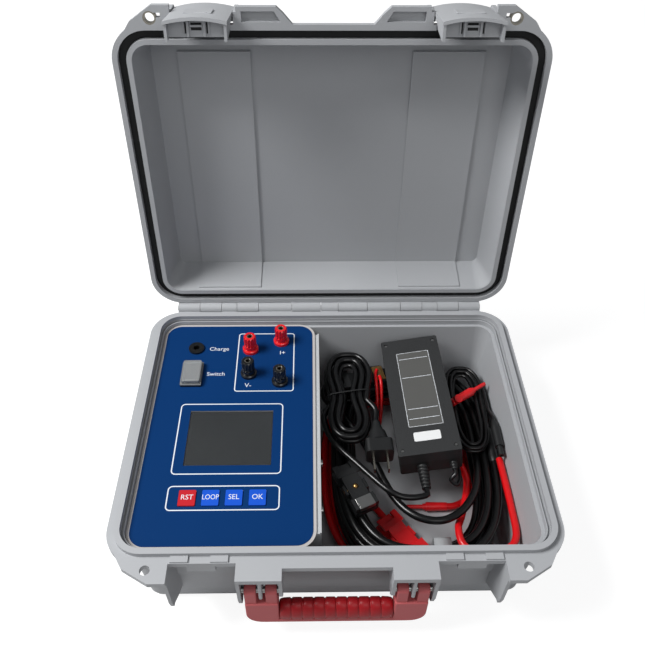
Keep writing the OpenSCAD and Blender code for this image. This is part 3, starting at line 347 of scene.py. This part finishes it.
# %% Coils
MAINS_D, THIN_D, BLACK_D, RED_D, WIRE_D = 5.5, 3.6, 7.0, 6.5, 3.4
HANK_Z, THIN_Z = 66.6, 53.05
black = coil_line((77.5, -2), (74.5, 109), 8.35, 22.4, n=3, layers=4, start=180, turn=-1)
red = coil_line((71, 0), (78.2, 107), 7.8, 7.55, n=3, layers=2, start=0, turn=1)
hank = coil_line((17, 48.5), (24.5, 55), 6.8, HANK_Z, n=3, layers=2, start=180, turn=-1, waist=7,
                 out=True)
thin = coil_line((134, 45), (20, 53), 4.8, THIN_Z, n=3, layers=2, start=180, turn=-1, out=True)
print("coil points", [len(c) for c in (black, red, hank, thin)])

# %% [markdown]
# The free stretches join each coil to its plug, clip or charger. A stretch leaves its coil
# straight on for about one thickness, so the cord has no kink there, and ends inside the piece
# that holds it.

# %% Free stretches
CLIPS = [(6.5, 76, CLIP_Z, 12), (9, -24, CLIP_Z, -65), (49.2, -49.1, 4.3, -53)]
CLIP_BORE_Z = 5.7
MAINS_HOLE_X, THIN_HOLE_X, HOLE_Z = -8, 20, 9
MAINS_GUARD, THIN_GUARD = 24, 8
MAINS_PLUG, MAINS_PLUG_TURN = (41.5, 17, 70), math.radians(2)


def clip_mouth(spot, x):
    a = math.radians(spot[3])
    return (spot[0] + x * math.cos(a), spot[1] + x * math.sin(a), spot[2] + CLIP_BORE_Z)


def before(line, d):
    return [tuple(line[0] - (line[1] - line[0]).normalized() * d), tuple(line[0])]


def after(line, d):
    return [tuple(line[-1]), tuple(line[-1] + (line[-1] - line[-2]).normalized() * d)]


def plug_at(d):
    x, y, z = MAINS_PLUG
    return (x + d * math.sin(MAINS_PLUG_TURN), y - d * math.cos(MAINS_PLUG_TURN), z)


def out_of_guard(x, guard, d):
    end = CHARGER_FRONT - guard
    return [on_charger(x, end + d, HOLE_Z), on_charger(x, end - d, HOLE_Z)]


mains_in = out_of_guard(MAINS_HOLE_X, MAINS_GUARD, MAINS_D) + [
    (64, -61, 65), (49, -56, 67.6), (33, -40, 67.8), (20, -25, 67.6), (9, -13, 67.4),
    (0, 0, HANK_Z), (-5.2, 13, HANK_Z), (-7.3, 28, HANK_Z)] + before(hank, MAINS_D)
mains_out = after(hank, MAINS_D) + [(41.6, 32, 72), plug_at(-MAINS_D / 2), plug_at(MAINS_D)]
thin_in = out_of_guard(THIN_HOLE_X, THIN_GUARD, THIN_D) + [
    (105, -42, 63), (111, -44, 58), (115.5, -34, 55), (115.5, -16, THIN_Z + 0.4),
    (114.2, 10, THIN_Z + 0.2)] + before(thin, 2 * THIN_D)
thin_out = after(thin, THIN_D) + [(154.5, 33, 62), (155, 25.6, 64.6), (155, 18, 64.6)]
black_out = after(black, BLACK_D) + [
    (133.5, -26, 50.5), (127, -48, 54), (113, -68, 56.5), (94, -79, 57.5), (74, -76, 57),
    (58, -62, 56), (47, -40, 55.4), (38, -14, 55.2), (27, 12, 55.2), (13, 34, 55.2), (3, 47, 55.2),
    (-4.6, 58, 55.5), (-6.6, 66, 56), (-4.6, 72.2, 56.6),
    clip_mouth(CLIPS[0], -BLACK_D), clip_mouth(CLIPS[0], 4)]
red_out = after(red, RED_D) + [
    (10.5, -16, 14.2), (19, -26, 12.6), (31, -31.5, 11.2), (40.5, -37.8, 10.2),
    clip_mouth(CLIPS[2], -RED_D / 2), clip_mouth(CLIPS[2], 4)]
red_in = [(105, -36, 8.6), (112.25, -36, 8.6), (120, -34, 8.4), (128, -28, 8),
          (132, -19, 7.7)] + before(red, RED_D)
print("stretches", 7, "mouth of the rear clip", [round(c, 1) for c in clip_mouth(CLIPS[0], 0)])

# %% [markdown]
# One helper turns a line into a cord. It drops points that fall on one another, sweeps a round
# section of the cord's thickness along the rest, puts the cord on its body and hides the rigid
# pieces it stands for. A curve is used because a cord bends and a mesh doesn't.

# %% Cord helper
CLOSEST = 0.3 * MM


def cord_piece(name, parts, diameter, finish, replaced=(), body="base"):
    line = []
    for part in parts:
        for p in part:
            p = Vector(p) * MM
            if not line or (p - line[-1]).length > CLOSEST:
                line.append(p)
    curve = bpy.data.curves.new(name, "CURVE")
    curve.dimensions = "3D"
    curve.bevel_depth = diameter * MM / 2
    curve.bevel_resolution = 3
    curve.use_fill_caps = True
    strand = curve.splines.new("POLY")
    strand.points.add(len(line) - 1)
    for point, p in zip(strand.points, line):
        point.co = (*p, 1)
    strand.use_smooth = True
    piece = bpy.data.objects.new(name, curve)
    bpy.context.scene.collection.objects.link(piece)
    curve.materials.append(finish)
    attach(piece, body)
    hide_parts(*replaced)


print("points closer than", CLOSEST, "m are dropped")

# %% [markdown]
# The two cords of the charger end in plugs and the two test leads in clips, which hang on the
# far end of their cord. Each cord stands for the rigid pieces of the construction model.

# %% The four cords
cord_piece("mains_cord", [smooth_line(mains_in), hank, smooth_line(mains_out)], MAINS_D, cord_black,
           replaced=["mains_cord_start", "mains_cord_hank", "mains_cord_end"])
cord_piece("charging_lead", [smooth_line(thin_in), thin, smooth_line(thin_out)], THIN_D, cord_black,
           replaced=["charger_lead_start", "charger_lead_coil", "charger_lead_end"])
cord_piece("black_lead", [before(black, 0.5)[:1], black, smooth_line(black_out)], BLACK_D,
           cord_black, replaced=["black_lead_coil", "black_lead_tail"])
cord_piece("red_lead", [smooth_line(red_in), red, smooth_line(red_out)], RED_D, cord_red,
           replaced=["red_lead_start", "red_lead_coil", "red_lead_tail"])

# %% [markdown]
# ## Pieces
# Every rigid piece below ends in the same few steps, so one helper does them: turn the shape to
# its place, bring millimetres to metres, make the mesh, give it a finish and say which body it
# rides on. A piece of the studio is already in metres and rides on no body.

# %% Piece helper
def finish_piece(bm, name, finish, body="base", smooth=False, turn=None, replaced=(),
                 stage=False):
    if turn is not None:
        bmesh.ops.transform(bm, matrix=turn, verts=bm.verts)
    if not stage:
        bmesh.ops.scale(bm, vec=(MM, MM, MM), verts=bm.verts)
    bmesh.ops.recalc_face_normals(bm, faces=bm.faces)
    mesh = bpy.data.meshes.new(name)
    bm.to_mesh(mesh)
    bm.free()
    for poly in mesh.polygons:
        poly.use_smooth = smooth
    mesh.materials.append(finish)
    piece = bpy.data.objects.new(name, mesh)
    bpy.context.scene.collection.objects.link(piece)
    if stage:
        return piece
    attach(piece, body)
    if replaced:
        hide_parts(*replaced)
    return piece


print("unit", MM, "m")

# %% [markdown]
# ## Floor and light
# The photograph is a product shot on near white. A plain pale floor catches a soft shadow. The
# Is Camera Ray mix makes it look bright to the camera only, so the tray and the lid aren't lit
# from below by a glowing floor.

# %% Floor
FLOOR_GLOW, FLOOR_SHADE, FLOOR_HALF = 0.86, 0.3, 6
floor_look = finish_of("floor_look", (0.5, 0.5, 0.5), 0.8, 300, 0.0, 0.0)
ft = floor_look.node_tree
glow, blend, rays = (ft.nodes.new(k) for k in ("ShaderNodeEmission", "ShaderNodeMixShader",
                                               "ShaderNodeLightPath"))
pale = ft.nodes.new("ShaderNodeBsdfDiffuse")
both = ft.nodes.new("ShaderNodeAddShader")
glow.inputs["Color"].default_value = (1, 1, 1, 1)
glow.inputs["Strength"].default_value = FLOOR_GLOW
pale.inputs["Color"].default_value = (FLOOR_SHADE,) * 3 + (1,)
ft.links.new(glow.outputs["Emission"], both.inputs[0])
ft.links.new(pale.outputs["BSDF"], both.inputs[1])
ft.links.new(rays.outputs["Is Camera Ray"], blend.inputs["Fac"])
ft.links.new(ft.nodes["Principled BSDF"].outputs["BSDF"], blend.inputs[1])
ft.links.new(both.outputs["Shader"], blend.inputs[2])
ft.links.new(blend.outputs["Shader"], ft.nodes["Material Output"].inputs["Surface"])
floor_bm = bmesh.new()
bmesh.ops.create_grid(floor_bm, x_segments=1, y_segments=1, size=FLOOR_HALF)
finish_piece(floor_bm, "floor", floor_look, stage=True)
print("floor", 2 * FLOOR_HALF, "m wide")

# %% [markdown]
# The room gives a weak even light. The camera sees it as white, by the same mix as the floor.

# %% Room
ROOM_LIGHT, ROOM_SEEN = 0.22, 1.0
world = bpy.data.worlds.new("studio")
bpy.context.scene.world = world
world.use_nodes = True
wt = world.node_tree
wt.nodes.clear()
room, seen = wt.nodes.new("ShaderNodeBackground"), wt.nodes.new("ShaderNodeBackground")
room.inputs["Color"].default_value = (0.95, 0.97, 1, 1)
room.inputs["Strength"].default_value = ROOM_LIGHT
seen.inputs["Color"].default_value = (1, 1, 1, 1)
seen.inputs["Strength"].default_value = ROOM_SEEN
paths, mix, world_out = (wt.nodes.new(k) for k in ("ShaderNodeLightPath", "ShaderNodeMixShader",
                                                  "ShaderNodeOutputWorld"))
wt.links.new(paths.outputs["Is Camera Ray"], mix.inputs["Fac"])
wt.links.new(room.outputs["Background"], mix.inputs[1])
wt.links.new(seen.outputs["Background"], mix.inputs[2])
wt.links.new(mix.outputs["Shader"], world_out.inputs["Surface"])
print("room", ROOM_LIGHT)

# %% [markdown]
# The lid's left wall is dark in the photograph and its right wall light, so the main lamp is a
# broad one high on the left. A weak lamp in front lifts the case's front and the handle.

# %% Lamps
def lamp(name, spot, target, size, watts):
    data = bpy.data.lights.new(name, "AREA")
    data.shape = "RECTANGLE"
    data.size, data.size_y = size
    data.energy = watts
    thing = bpy.data.objects.new(name, data)
    aim = (Vector(target) - Vector(spot)).to_track_quat("-Z", "Y").to_matrix().to_4x4()
    thing.matrix_world = Matrix.Translation(Vector(spot)) @ aim
    bpy.context.scene.collection.objects.link(thing)


lamp("key", (-1.2, -0.1, 1.65), (0, 0.05, 0.1), (0.8, 0.7), 43)
lamp("front", (0.4, -1.3, 1.5), (0, 0, 0.15), (1.0, 1.0), 6)
bpy.context.scene.view_settings.view_transform = "Standard"
print("lamps", 2)

# %% [markdown]
# ## Lines and words on the panel
# The overlay is printed film. Its white boxes group the screen, the keys and the terminals.
# Each box is a flat rectangle with its corners bevelled and its middle inset and taken out, so
# one thin line is left. The words are the plain names of the functions.

# %% Panel print
FACE_Z = 95.3
PRINT_Z = FACE_Z + 0.04


def line_box(name, x0, x1, y0, y1, z=PRINT_Z, line=1.0, corner=4.0, turn=None):
    bm = bmesh.new()
    bmesh.ops.create_grid(bm, x_segments=1, y_segments=1, size=0.5)
    bmesh.ops.scale(bm, vec=(x1 - x0, y1 - y0, 1), verts=bm.verts)
    bmesh.ops.translate(bm, vec=((x0 + x1) / 2, (y0 + y1) / 2, z), verts=bm.verts)
    bmesh.ops.bevel(bm, geom=list(bm.verts), offset=corner, segments=6, profile=0.5,
                    affect="VERTICES")
    middle = list(bm.faces)
    bmesh.ops.inset_region(bm, faces=middle, thickness=line, use_even_offset=True,
                           use_boundary=True)
    bmesh.ops.delete(bm, geom=middle, context="FACES")
    finish_piece(bm, name, print_white, turn=turn)


def word(name, text, x, y, z, size, body="base", squeeze=1.0):
    letters = bpy.data.curves.new(name, "FONT")
    letters.body = text
    letters.size = size
    letters.align_x = "CENTER"
    letters.align_y = "CENTER"
    letters.resolution_u = 4
    carrier = bpy.data.objects.new(name, letters)
    bpy.context.scene.collection.objects.link(carrier)
    bpy.context.view_layer.update()
    shown = carrier.evaluated_get(bpy.context.evaluated_depsgraph_get())
    flat = bpy.data.meshes.new_from_object(shown)
    bpy.data.objects.remove(carrier)
    bm = bmesh.new()
    bm.from_mesh(flat)
    bmesh.ops.scale(bm, vec=(squeeze, 1, 1), verts=bm.verts)
    bmesh.ops.translate(bm, vec=(x, y, z), verts=bm.verts)
    finish_piece(bm, name, print_white, body=body)


line_box("screen_line", -138.5, -45.0, -56.0, 20.5)
line_box("keys_line", -138.5, -45.5, -90.5, -67.0)
line_box("terminals_line", -91.8, -35.8, 35.0, 111.5, corner=3.0)
word("word_charge", "Charge", -110.0, 90.0, PRINT_Z, 6.6)
word("word_switch", "Switch", -110.5, 57.0, PRINT_Z, 6.6)
word("word_current", "I+", -47.5, 84.5, PRINT_Z, 7.0)
word("word_voltage", "V-", -79.0, 42.5, PRINT_Z, 7.0)
KEY_TOP, KEY_ROW_Y, LETTER = 96.3, -78.6, 6.6
for name, text, x, body, squeeze in (("word_rst", "RST", -121.6, "key_a", 0.95),
                                     ("word_loop", "LOOP", -102.4, "key_b", 0.8),
                                     ("word_sel", "SEL", -83.2, "key_c", 0.95),
                                     ("word_ok", "OK", -63.8, "key_d", 0.95)):
    word(name, text, x, KEY_ROW_Y, KEY_TOP + 0.03, LETTER, body=body, squeeze=squeeze)
print("print pieces", 3 + 4 + 4)

# %% [markdown]
# ## The charger's label
# The real charger carries a label in a shallow frame and a small white sticker. The maker's
# words are left off, and a few ruled lines keep the look of a label. Thin plates stand for the
# paper, so that they have an edge, and four screws close the cover.

# %% Charger label
LABEL_Z, RULE_Z, LINE_Z = CHARGER_H + 0.02, CHARGER_H + 0.15, CHARGER_H + 0.17
PAPER, INK = 0.12, 0.03


def plate_on(name, x0, x1, y0, y1, z, thick, finish, corner=0.8):
    bm = bmesh.new()
    bmesh.ops.create_cube(bm, size=1)
    bmesh.ops.scale(bm, vec=(x1 - x0, y1 - y0, thick), verts=bm.verts)
    bmesh.ops.translate(bm, vec=((x0 + x1) / 2, (y0 + y1) / 2, z + thick / 2), verts=bm.verts)
    upright = [e for e in bm.edges if abs(e.verts[0].co.z - e.verts[1].co.z) > thick / 2]
    bmesh.ops.bevel(bm, geom=upright, offset=corner, segments=3, profile=0.5, affect="EDGES")
    finish_piece(bm, name, finish, turn=charger_frame)


plate_on("charger_label", -15.5, 17.5, -41.0, 52.5, LABEL_Z, PAPER, label_grey)
line_box("charger_label_line", -14.9, 16.9, -40.4, 51.9, z=LINE_Z, line=0.35, corner=1.0,
         turn=charger_frame)
for i, y in enumerate((43.5, 19.0, -20.0, -31.5)):
    plate_on(f"charger_rule_{i}", -13.0, 15.0, y - 0.25, y + 0.25, RULE_Z, INK, print_white,
             corner=0.05)
plate_on("charger_sticker", -12.0, 12.5, -57.0, -47.0, LABEL_Z, PAPER, paper_white, corner=1.5)
for i, (x, y) in enumerate(((-24, -65), (24, -65), (-24, 65), (24, 65))):
    bm = bmesh.new()
    bmesh.ops.create_cone(bm, cap_ends=True, segments=20, radius1=1.5, radius2=1.35, depth=0.7)
    bmesh.ops.translate(bm, vec=(x, y, CHARGER_H - 0.9), verts=bm.verts)
    finish_piece(bm, f"charger_screw_{i}", steel, turn=charger_frame)
print("label pieces", 1 + 1 + 4 + 1, "screws", 4)

# %% [markdown]
# The mains cord leaves the charger through a moulded guard of rings, and the thin lead through a
# smaller one. Both are round, so half an outline is spun round the cord's line.

# %% Cord guards
GUARD_RINGS, RING_STEP, RING_SHRINK = 6, 3.5, 0.22
UPRIGHT_TO_FRONT = Matrix.Rotation(math.radians(90), 4, "X")


def spun(name, outline, finish, turn, body="base", segments=28, replaced=()):
    bm = bmesh.new()
    rail = [bm.verts.new((r, 0, z)) for r, z in outline]
    edges = [bm.edges.new(pair) for pair in zip(rail, rail[1:])]
    bmesh.ops.spin(bm, geom=rail + edges, cent=(0, 0, 0), axis=(0, 0, 1), angle=2 * math.pi,
                   steps=segments, use_merge=True)
    bmesh.ops.remove_doubles(bm, verts=bm.verts, dist=0.001)
    finish_piece(bm, name, finish, body=body, turn=turn, smooth=True, replaced=replaced)


def at_hole(x):
    return charger_frame @ Matrix.Translation((x, CHARGER_FRONT, HOLE_Z)) @ UPRIGHT_TO_FRONT


guard = [(2.8, 0.0), (5.3, 0.0), (5.3, 2.6)]
for i in range(GUARD_RINGS):
    z, r = 2.6 + i * RING_STEP, 5.2 - i * RING_SHRINK
    guard += [(r - 1.5, z + 0.2), (r - 1.5, z + 1.2), (r, z + 1.5), (r - 0.05, z + 3.3)]
guard += [(3.4, 24.0), (2.85, 24.0)]
spun("mains_guard", guard, plug_black, at_hole(MAINS_HOLE_X),
     replaced=["charger_relief"])
thin_guard = [(1.85, 0.0), (3.5, 0.0), (3.4, 1.6), (2.8, 1.9), (2.8, 2.6), (3.2, 2.9), (3.1, 4.4),
              (2.6, 4.7), (2.6, 5.4), (2.9, 5.7), (2.6, 8.0), (1.85, 8.0)]
spun("charge_guard", thin_guard, plug_black, at_hole(THIN_HOLE_X))
print("guard rings", GUARD_RINGS)

# %% [markdown]
# ## Ties
# The mains cord's hank is held at its waist by a thin twist tie. It is one closed band, so a
# small circle is spun into a ring, and the ring is pressed to the outline of the strands.

# %% Hank tie
RING_R, TIE_HALF_X, TIE_HALF_Y, TIE_POWER = 10, 21.6, 7.2, 0.55
bm = bmesh.new()
bmesh.ops.create_circle(bm, cap_ends=False, segments=10, radius=0.75)
bmesh.ops.rotate(bm, cent=(0, 0, 0), matrix=UPRIGHT_TO_FRONT.to_3x3(), verts=bm.verts)
bmesh.ops.translate(bm, vec=(RING_R, 0, 0), verts=bm.verts)
bmesh.ops.spin(bm, geom=list(bm.verts) + list(bm.edges), cent=(0, 0, 0), axis=(0, 0, 1),
               angle=2 * math.pi, steps=48, use_merge=True)
bmesh.ops.remove_doubles(bm, verts=bm.verts, dist=0.001)
for v in bm.verts:
    around = math.atan2(v.co.y, v.co.x)
    out = math.hypot(v.co.x, v.co.y) - RING_R
    v.co.x = share(math.cos(around), TIE_POWER) * (TIE_HALF_X + out)
    v.co.y = share(math.sin(around), TIE_POWER) * (TIE_HALF_Y + out)
tie_turn = (Matrix.Translation((17.0, 50.0, 70.0)) @ Matrix.Rotation(math.radians(10), 4, "Z")
            @ UPRIGHT_TO_FRONT)
finish_piece(bm, "hank_tie", plug_black, turn=tie_turn, smooth=True)
print("tie", 2 * TIE_HALF_X, "by", 2 * TIE_HALF_Y, "mm")

# %% [markdown]
# The black coil has a grey wrap of tape at its front. It goes round the coil's section, so a
# block with wide rounded edges loses its two ends and is given the thickness of the tape.

# %% Coil wrap
WRAP, WRAP_AT, TAPE = (15, 24.9, 33.2), (92, -102.6, 35.0), 0.4 * MM
bm = bmesh.new()
bmesh.ops.create_cube(bm, size=1)
bmesh.ops.scale(bm, vec=WRAP, verts=bm.verts)
lengthways = [e for e in bm.edges if abs(e.verts[0].co.x - e.verts[1].co.x) > 1]
bmesh.ops.bevel(bm, geom=lengthways, offset=4.0, segments=5, profile=0.5, affect="EDGES")
ends = [f for f in bm.faces if abs(f.normal.x) > 0.9]
bmesh.ops.delete(bm, geom=ends, context="FACES_ONLY")
wrap_grey = finish_of("wrap_grey", srgb(150, 152, 154), 0.6, 500, 0.35, 0.06)
wrap = finish_piece(bm, "coil_wrap", wrap_grey, turn=Matrix.Translation(WRAP_AT), smooth=True)
tape = wrap.modifiers.new("thickness", "SOLIDIFY")
tape.thickness = TAPE
print("wrap", WRAP)

# %% [markdown]
# ## Lid and latches
# Each latch cover has a shallow raised rectangle and, below it, the slot where its spring hook
# works. The slot and the gaps beside its rails are thin black plates, painted shade for their dark
# hollows. They are made with the lid shut, where the covers stand upright, and the same turns that
# open the lid and swing the latch carry them to their place.

# %% Latch covers
HINGE, LID_OPEN = Vector((0, 145, 100)), math.radians(-95)
LATCH_X, LATCH_SWING = 104, math.radians(-6.5)
opened = (Matrix.Translation(HINGE) @ Matrix.Rotation(LID_OPEN, 4, "X")
          @ Matrix.Translation(-HINGE))


def soft_block(name, size, centre, finish, body, turn, bevel=0.4, segments=2):
    bm = bmesh.new()
    bmesh.ops.create_cube(bm, size=1)
    bmesh.ops.scale(bm, vec=size, verts=bm.verts)
    bmesh.ops.translate(bm, vec=centre, verts=bm.verts)
    bmesh.ops.bevel(bm, geom=list(bm.edges), offset=bevel, segments=segments, profile=0.5,
                    affect="EDGES")
    return finish_piece(bm, name, finish, body=body, turn=turn)


for side, sign in (("l", -1), ("r", 1)):
    swing = (opened @ Matrix.Translation((LATCH_X * sign, -141, 120))
             @ Matrix.Rotation(LATCH_SWING, 4, "X"))
    body = "latch_" + side
    soft_block(f"latch_plate_{side}", (22, 1.0, 15), (0, -7.55, -34), latch_grey, body, swing,
               bevel=0.35)
    soft_block(f"latch_end_{side}", (43.0, 12.5, 1.8), (0, 1.6, -51), latch_grey, body, swing,
               bevel=0.5)
    # the black gap strips beside the rails are painted shade for the hollows between rail and guide
    for j in (-1, 1):
        for kind, size, centre, finish, bevel in (
                ("rail", (2.0, 11.5, 2.6), (6.2 * j, 1.7, -52.6), latch_grey, 0.4),
                ("guide", (1.2, 9.0, 1.6), (9.6 * j, 1.2, -52.2), latch_grey, 0.2),
                ("gap", (1.1, 8.0, 0.5), (8.1 * j, 1.2, -51.8), seal_black, 0.1)):
            soft_block(f"latch_{kind}_{side}_{j + 1}", size, centre, finish, body, swing, bevel)
    # the black slot plate is painted shade for the dark hollow of the hook's slot
    soft_block(f"latch_slot_painted_shade_{side}", (8.0, 5.5, 0.5), (0, 0.2, -51.85), seal_black, body, swing,
               bevel=0.15)
    soft_block(f"latch_bridge_{side}", (10.0, 1.6, 1.4), (0, -0.2, -52.4), latch_grey, body, swing,
               bevel=0.3)
print("latch pieces", 2 * 10)

# %% [markdown]
# Beside the latches the lid's front edge carries two brackets with a shallow window. The window
# has a thin web at its back, so a plate closes it. One lower corner is pulled out, because the
# bracket's end slopes.

# %% Bracket webs
WEB, WEB_AT, WEB_SLOPE = (26.2, 8.2, 0.9), (60, -144.5, 104.6), 5
for side, sign in (("l", -1), ("r", 1)):
    bm = bmesh.new()
    bmesh.ops.create_cube(bm, size=1)
    bmesh.ops.scale(bm, vec=WEB, verts=bm.verts)
    bmesh.ops.translate(bm, vec=WEB_AT, verts=bm.verts)
    for v in bm.verts:
        if v.co.x < WEB_AT[0] and v.co.y > WEB_AT[1]:
            v.co.x -= WEB_SLOPE
    if sign < 0:
        bmesh.ops.scale(bm, vec=(-1, 1, 1), verts=bm.verts)
    finish_piece(bm, "bracket_web_" + side, case_grey, body="lid", turn=opened)
print("webs", 2)

# %% [markdown]
# The lid's inside shows the round marks left by the ejector pins of the mould. Low discs make
# them. The lid's two side bands are thicker, so a mark on a band lies lower.

# %% Ejector marks
LID_INSIDE_Z, BAND_DROP, BAND_FROM, BAND_TO = 139.96, 2.0, 70.5, 133.5
MARK_R = 5
for i, (x, y) in enumerate(((-118, 60), (-112, -30), (-86, -70), (86, -70), (114, -32))):
    bm = bmesh.new()
    bmesh.ops.create_cone(bm, cap_ends=True, segments=40, radius1=MARK_R, radius2=MARK_R - 0.15,
                          depth=0.12)
    drop = BAND_DROP if BAND_FROM < abs(x) < BAND_TO else 0
    bmesh.ops.translate(bm, vec=(x, y, LID_INSIDE_Z - drop), verts=bm.verts)
    finish_piece(bm, f"ejector_mark_{i}", case_grey, body="lid", turn=opened)
print("marks", 5)

# %% [markdown]
# ## The carrying handle
# The grip is a soft bulged sleeve over the handle's bar, with a row of grooves for the fingers.
# A half outline along the bar is spun round and then pressed flat, because a hand fills a
# section that is higher than it is deep.

# %% Grip
GROOVES, GROOVE_STEP, PRESS = 9, 9, 0.66
grip_line = [(7.6, -45.4), (9.4, -45.4), (10.6, -44.6), (11.3, -42.0)]
for i in range(GROOVES):
    at = (i - GROOVES // 2) * GROOVE_STEP
    grip_line += [(11.7, at - 1.3), (11.4, at - 0.8), (10.6, at - 0.35), (10.6, at + 0.35),
                  (11.4, at + 0.8), (11.7, at + 1.3)]
grip_line += [(11.3, 42.0), (10.6, 44.6), (9.4, 45.4), (7.6, 45.4)]
pressed = (Matrix.Translation((0, -147, 40.6)) @ Matrix.Diagonal((1, PRESS, 1, 1))
           @ Matrix.Rotation(math.radians(90), 4, "Y"))
spun("grip", grip_line, grip_red, pressed, body="handle", segments=44,
     replaced=["handle_grip"])
print("grip grooves", GROOVES)

# %% [markdown]
# ## Clip details
# The two black clips have metal jaws. The rear one shows a brass plate with two beads of solder,
# the front one a bright plate and a brass rivet. A jaw is bent sheet, so a flat block and a lip at
# its end make it, and the beads and the rivet are spun.

# %% Clip jaws
def clip_frame(i):
    x, y, z, turn = CLIPS[i]
    return Matrix.Translation((x, y, z)) @ Matrix.Rotation(math.radians(turn), 4, "Z")


for name, size, centre, finish, body, clip, bevel in (
        ("rear_jaw_plate", (9.6, 18.0, 1.1), (43.0, 0, 12.7), brass, "jaw_rear", 0, 0.25),
        ("rear_jaw_edge", (1.0, 18.0, 5.0), (48.6, 0, 10.4), brass, "jaw_rear", 0, 0.25),
        ("front_jaw_plate", (10.0, 15.0, 0.8), (43.0, 0, 12.45), steel, "jaw_front", 1, 0.2),
        ("front_jaw_edge", (0.9, 15.0, 5.0), (48.5, 0, 10.2), steel, "jaw_front", 1, 0.2)):
    soft_block(name, size, centre, finish, body, clip_frame(clip), bevel)
rivet = [(0.01, 2.0), (1.2, 1.8), (2.2, 1.1), (2.6, 0.2), (2.6, 0.0)]
spun("front_rivet", rivet, brass, clip_frame(1) @ Matrix.Translation((25, 0, 10.2)),
     body="jaw_front")
solder = [(0.01, 1.9), (0.9, 1.6), (1.7, 0.7), (2.1, 0.0)]
for i, y in enumerate((-4.5, 3.5)):
    spun(f"solder_{i}", solder, plated, clip_frame(0) @ Matrix.Translation((42.5, y, 13.25)),
         body="jaw_rear")
print("jaw pieces", 7)

# %% [markdown]
# The handle's frame is one moulding: a bar along the bottom, a thick arm at each end and two lugs
# on each arm that reach up to the pivot. Blocks with rounded edges stand for them. A wide bevel
# turns the arm's outer lower corner and the lugs' tops, because the real ones are round there.
# A rib of the case stands between the lugs of each pair.

# %% Handle frame
HANDLE_Y, RIB_Y, SAME = -147.0, -140.5, 0.01
ARM_X, LUG_FROM, LUG_TO = 72.0, 52.0, 79.0


def lug(name, x0, x1, z0, z1, depth=10.0, corner=4.6, outer=None):
    bm = bmesh.new()
    bmesh.ops.create_cube(bm, size=1)
    bmesh.ops.scale(bm, vec=(x1 - x0, depth, z1 - z0), verts=bm.verts)
    bmesh.ops.translate(bm, vec=((x0 + x1) / 2, HANDLE_Y, (z0 + z1) / 2), verts=bm.verts)
    if outer is None:
        wide = [e for e in bm.edges if all(abs(v.co.z - z1) < SAME for v in e.verts)
                and abs(e.verts[0].co.y - e.verts[1].co.y) < SAME]
    else:
        wide = [e for e in bm.edges
                if all(abs(v.co.z - z0) < SAME and abs(v.co.x - outer) < SAME for v in e.verts)]
    bmesh.ops.bevel(bm, geom=wide, offset=corner, segments=8, profile=0.5, affect="EDGES")
    sharp = [e for e in bm.edges if e.calc_face_angle(0) > 0.6]
    bmesh.ops.bevel(bm, geom=sharp, offset=1.1, segments=3, profile=0.5, affect="EDGES")
    finish_piece(bm, name, dull_red, body="handle")


def span(sign, a, b):
    return min(a * sign, b * sign), max(a * sign, b * sign)


for side, sign in (("l", -1), ("r", 1)):
    lug(f"handle_arm_{side}", *span(sign, 45.8, ARM_X), 28.8, 60.0, depth=12.5, corner=13.0,
        outer=ARM_X * sign)
    lug(f"handle_lug_out_{side}", *span(sign, 62.6, ARM_X), LUG_FROM, LUG_TO)
    lug(f"handle_lug_in_{side}", *span(sign, 46.4, 55.6), LUG_FROM, LUG_TO)
    soft_block(f"bracket_rib_{side}", (3.0, 24.0, 29.0), (59.1 * sign, RIB_Y, 82.5), case_grey,
               "base", None, bevel=1.1, segments=3)
bar = soft_block("handle_bar", (118.0, 12.0, 5.0), (0, -147.4, 31.3), dull_red, "handle", None, 1.4,
                 3)
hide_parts("handle_core")
print("handle pieces", 3 * 2 + 1, "ribs", 2)

# %% [markdown]
# Two red wires are soldered to the rear clip's jaw and go down into the tray. They start at the
# jaw, so they ride on it. The black lead has a dark shrunk sleeve on its outer loop, which is a
# tube with tapered ends and so is spun.

# %% Wires and sleeve
left_wire = [(47.4, 87.4, 66.3), (45.9, 83, 66.5), (45.5, 78, 66.6), (45.8, 71, 65.4),
             (46.4, 60, 59), (46, 50, 51), (44.4, 40, 41), (42, 30, 29), (39.5, 23, 19)]
right_wire = [(49.6, 79, 66.3), (50.3, 75, 66.4), (50.8, 70, 64.6), (51, 62, 58.6), (50.6, 54, 51),
              (49.6, 44, 40), (47.4, 35, 28), (45.6, 28.5, 19)]
for i, route in enumerate((left_wire, right_wire)):
    cord_piece(f"jaw_wire_{i}", [smooth_line(route)], WIRE_D, cord_red,
               body="jaw_rear")
sleeve = [(3.6, -19.0), (4.1, -17.5), (4.35, -14.0), (4.3, 0.0), (4.35, 14.0), (4.1, 17.5),
          (3.6, 19.0)]
spun("lead_sleeve", sleeve, plug_black, Matrix.Translation((151.95, 6, 47.45)) @ UPRIGHT_TO_FRONT)
print("wires", 2, "sleeve", 1)

# %% [markdown]
# One more red strand shows in the photograph. It comes from under the charger, crosses the open
# middle of the coil, climbs over the coil's front and lies along the right wall. It isn't plain
# where it ends, so both its ends are bare.

# %% Red branch
branch = [(104, 34, 46), (110, 6, 46.8), (116, -6, 46.5), (121.5, -19, 45.5), (123.8, -32, 44.5),
          (119.5, -50, 42.5), (113.2, -68, 43), (108.4, -78.5, 49), (106.4, -86.5, 54.6),
          (106.4, -94, 55), (108.5, -101, 55), (115, -107, 55), (126, -109.5, 55),
          (139, -107.5, 55), (149.5, -102, 55), (155, -92, 55), (156, -76, 55), (156, -50, 55),
          (155.5, -26, 54.9),
          (155.2, -14.5, 54.9)]
cord_piece("red_branch", [smooth_line(branch, 2)], RED_D, cord_red)
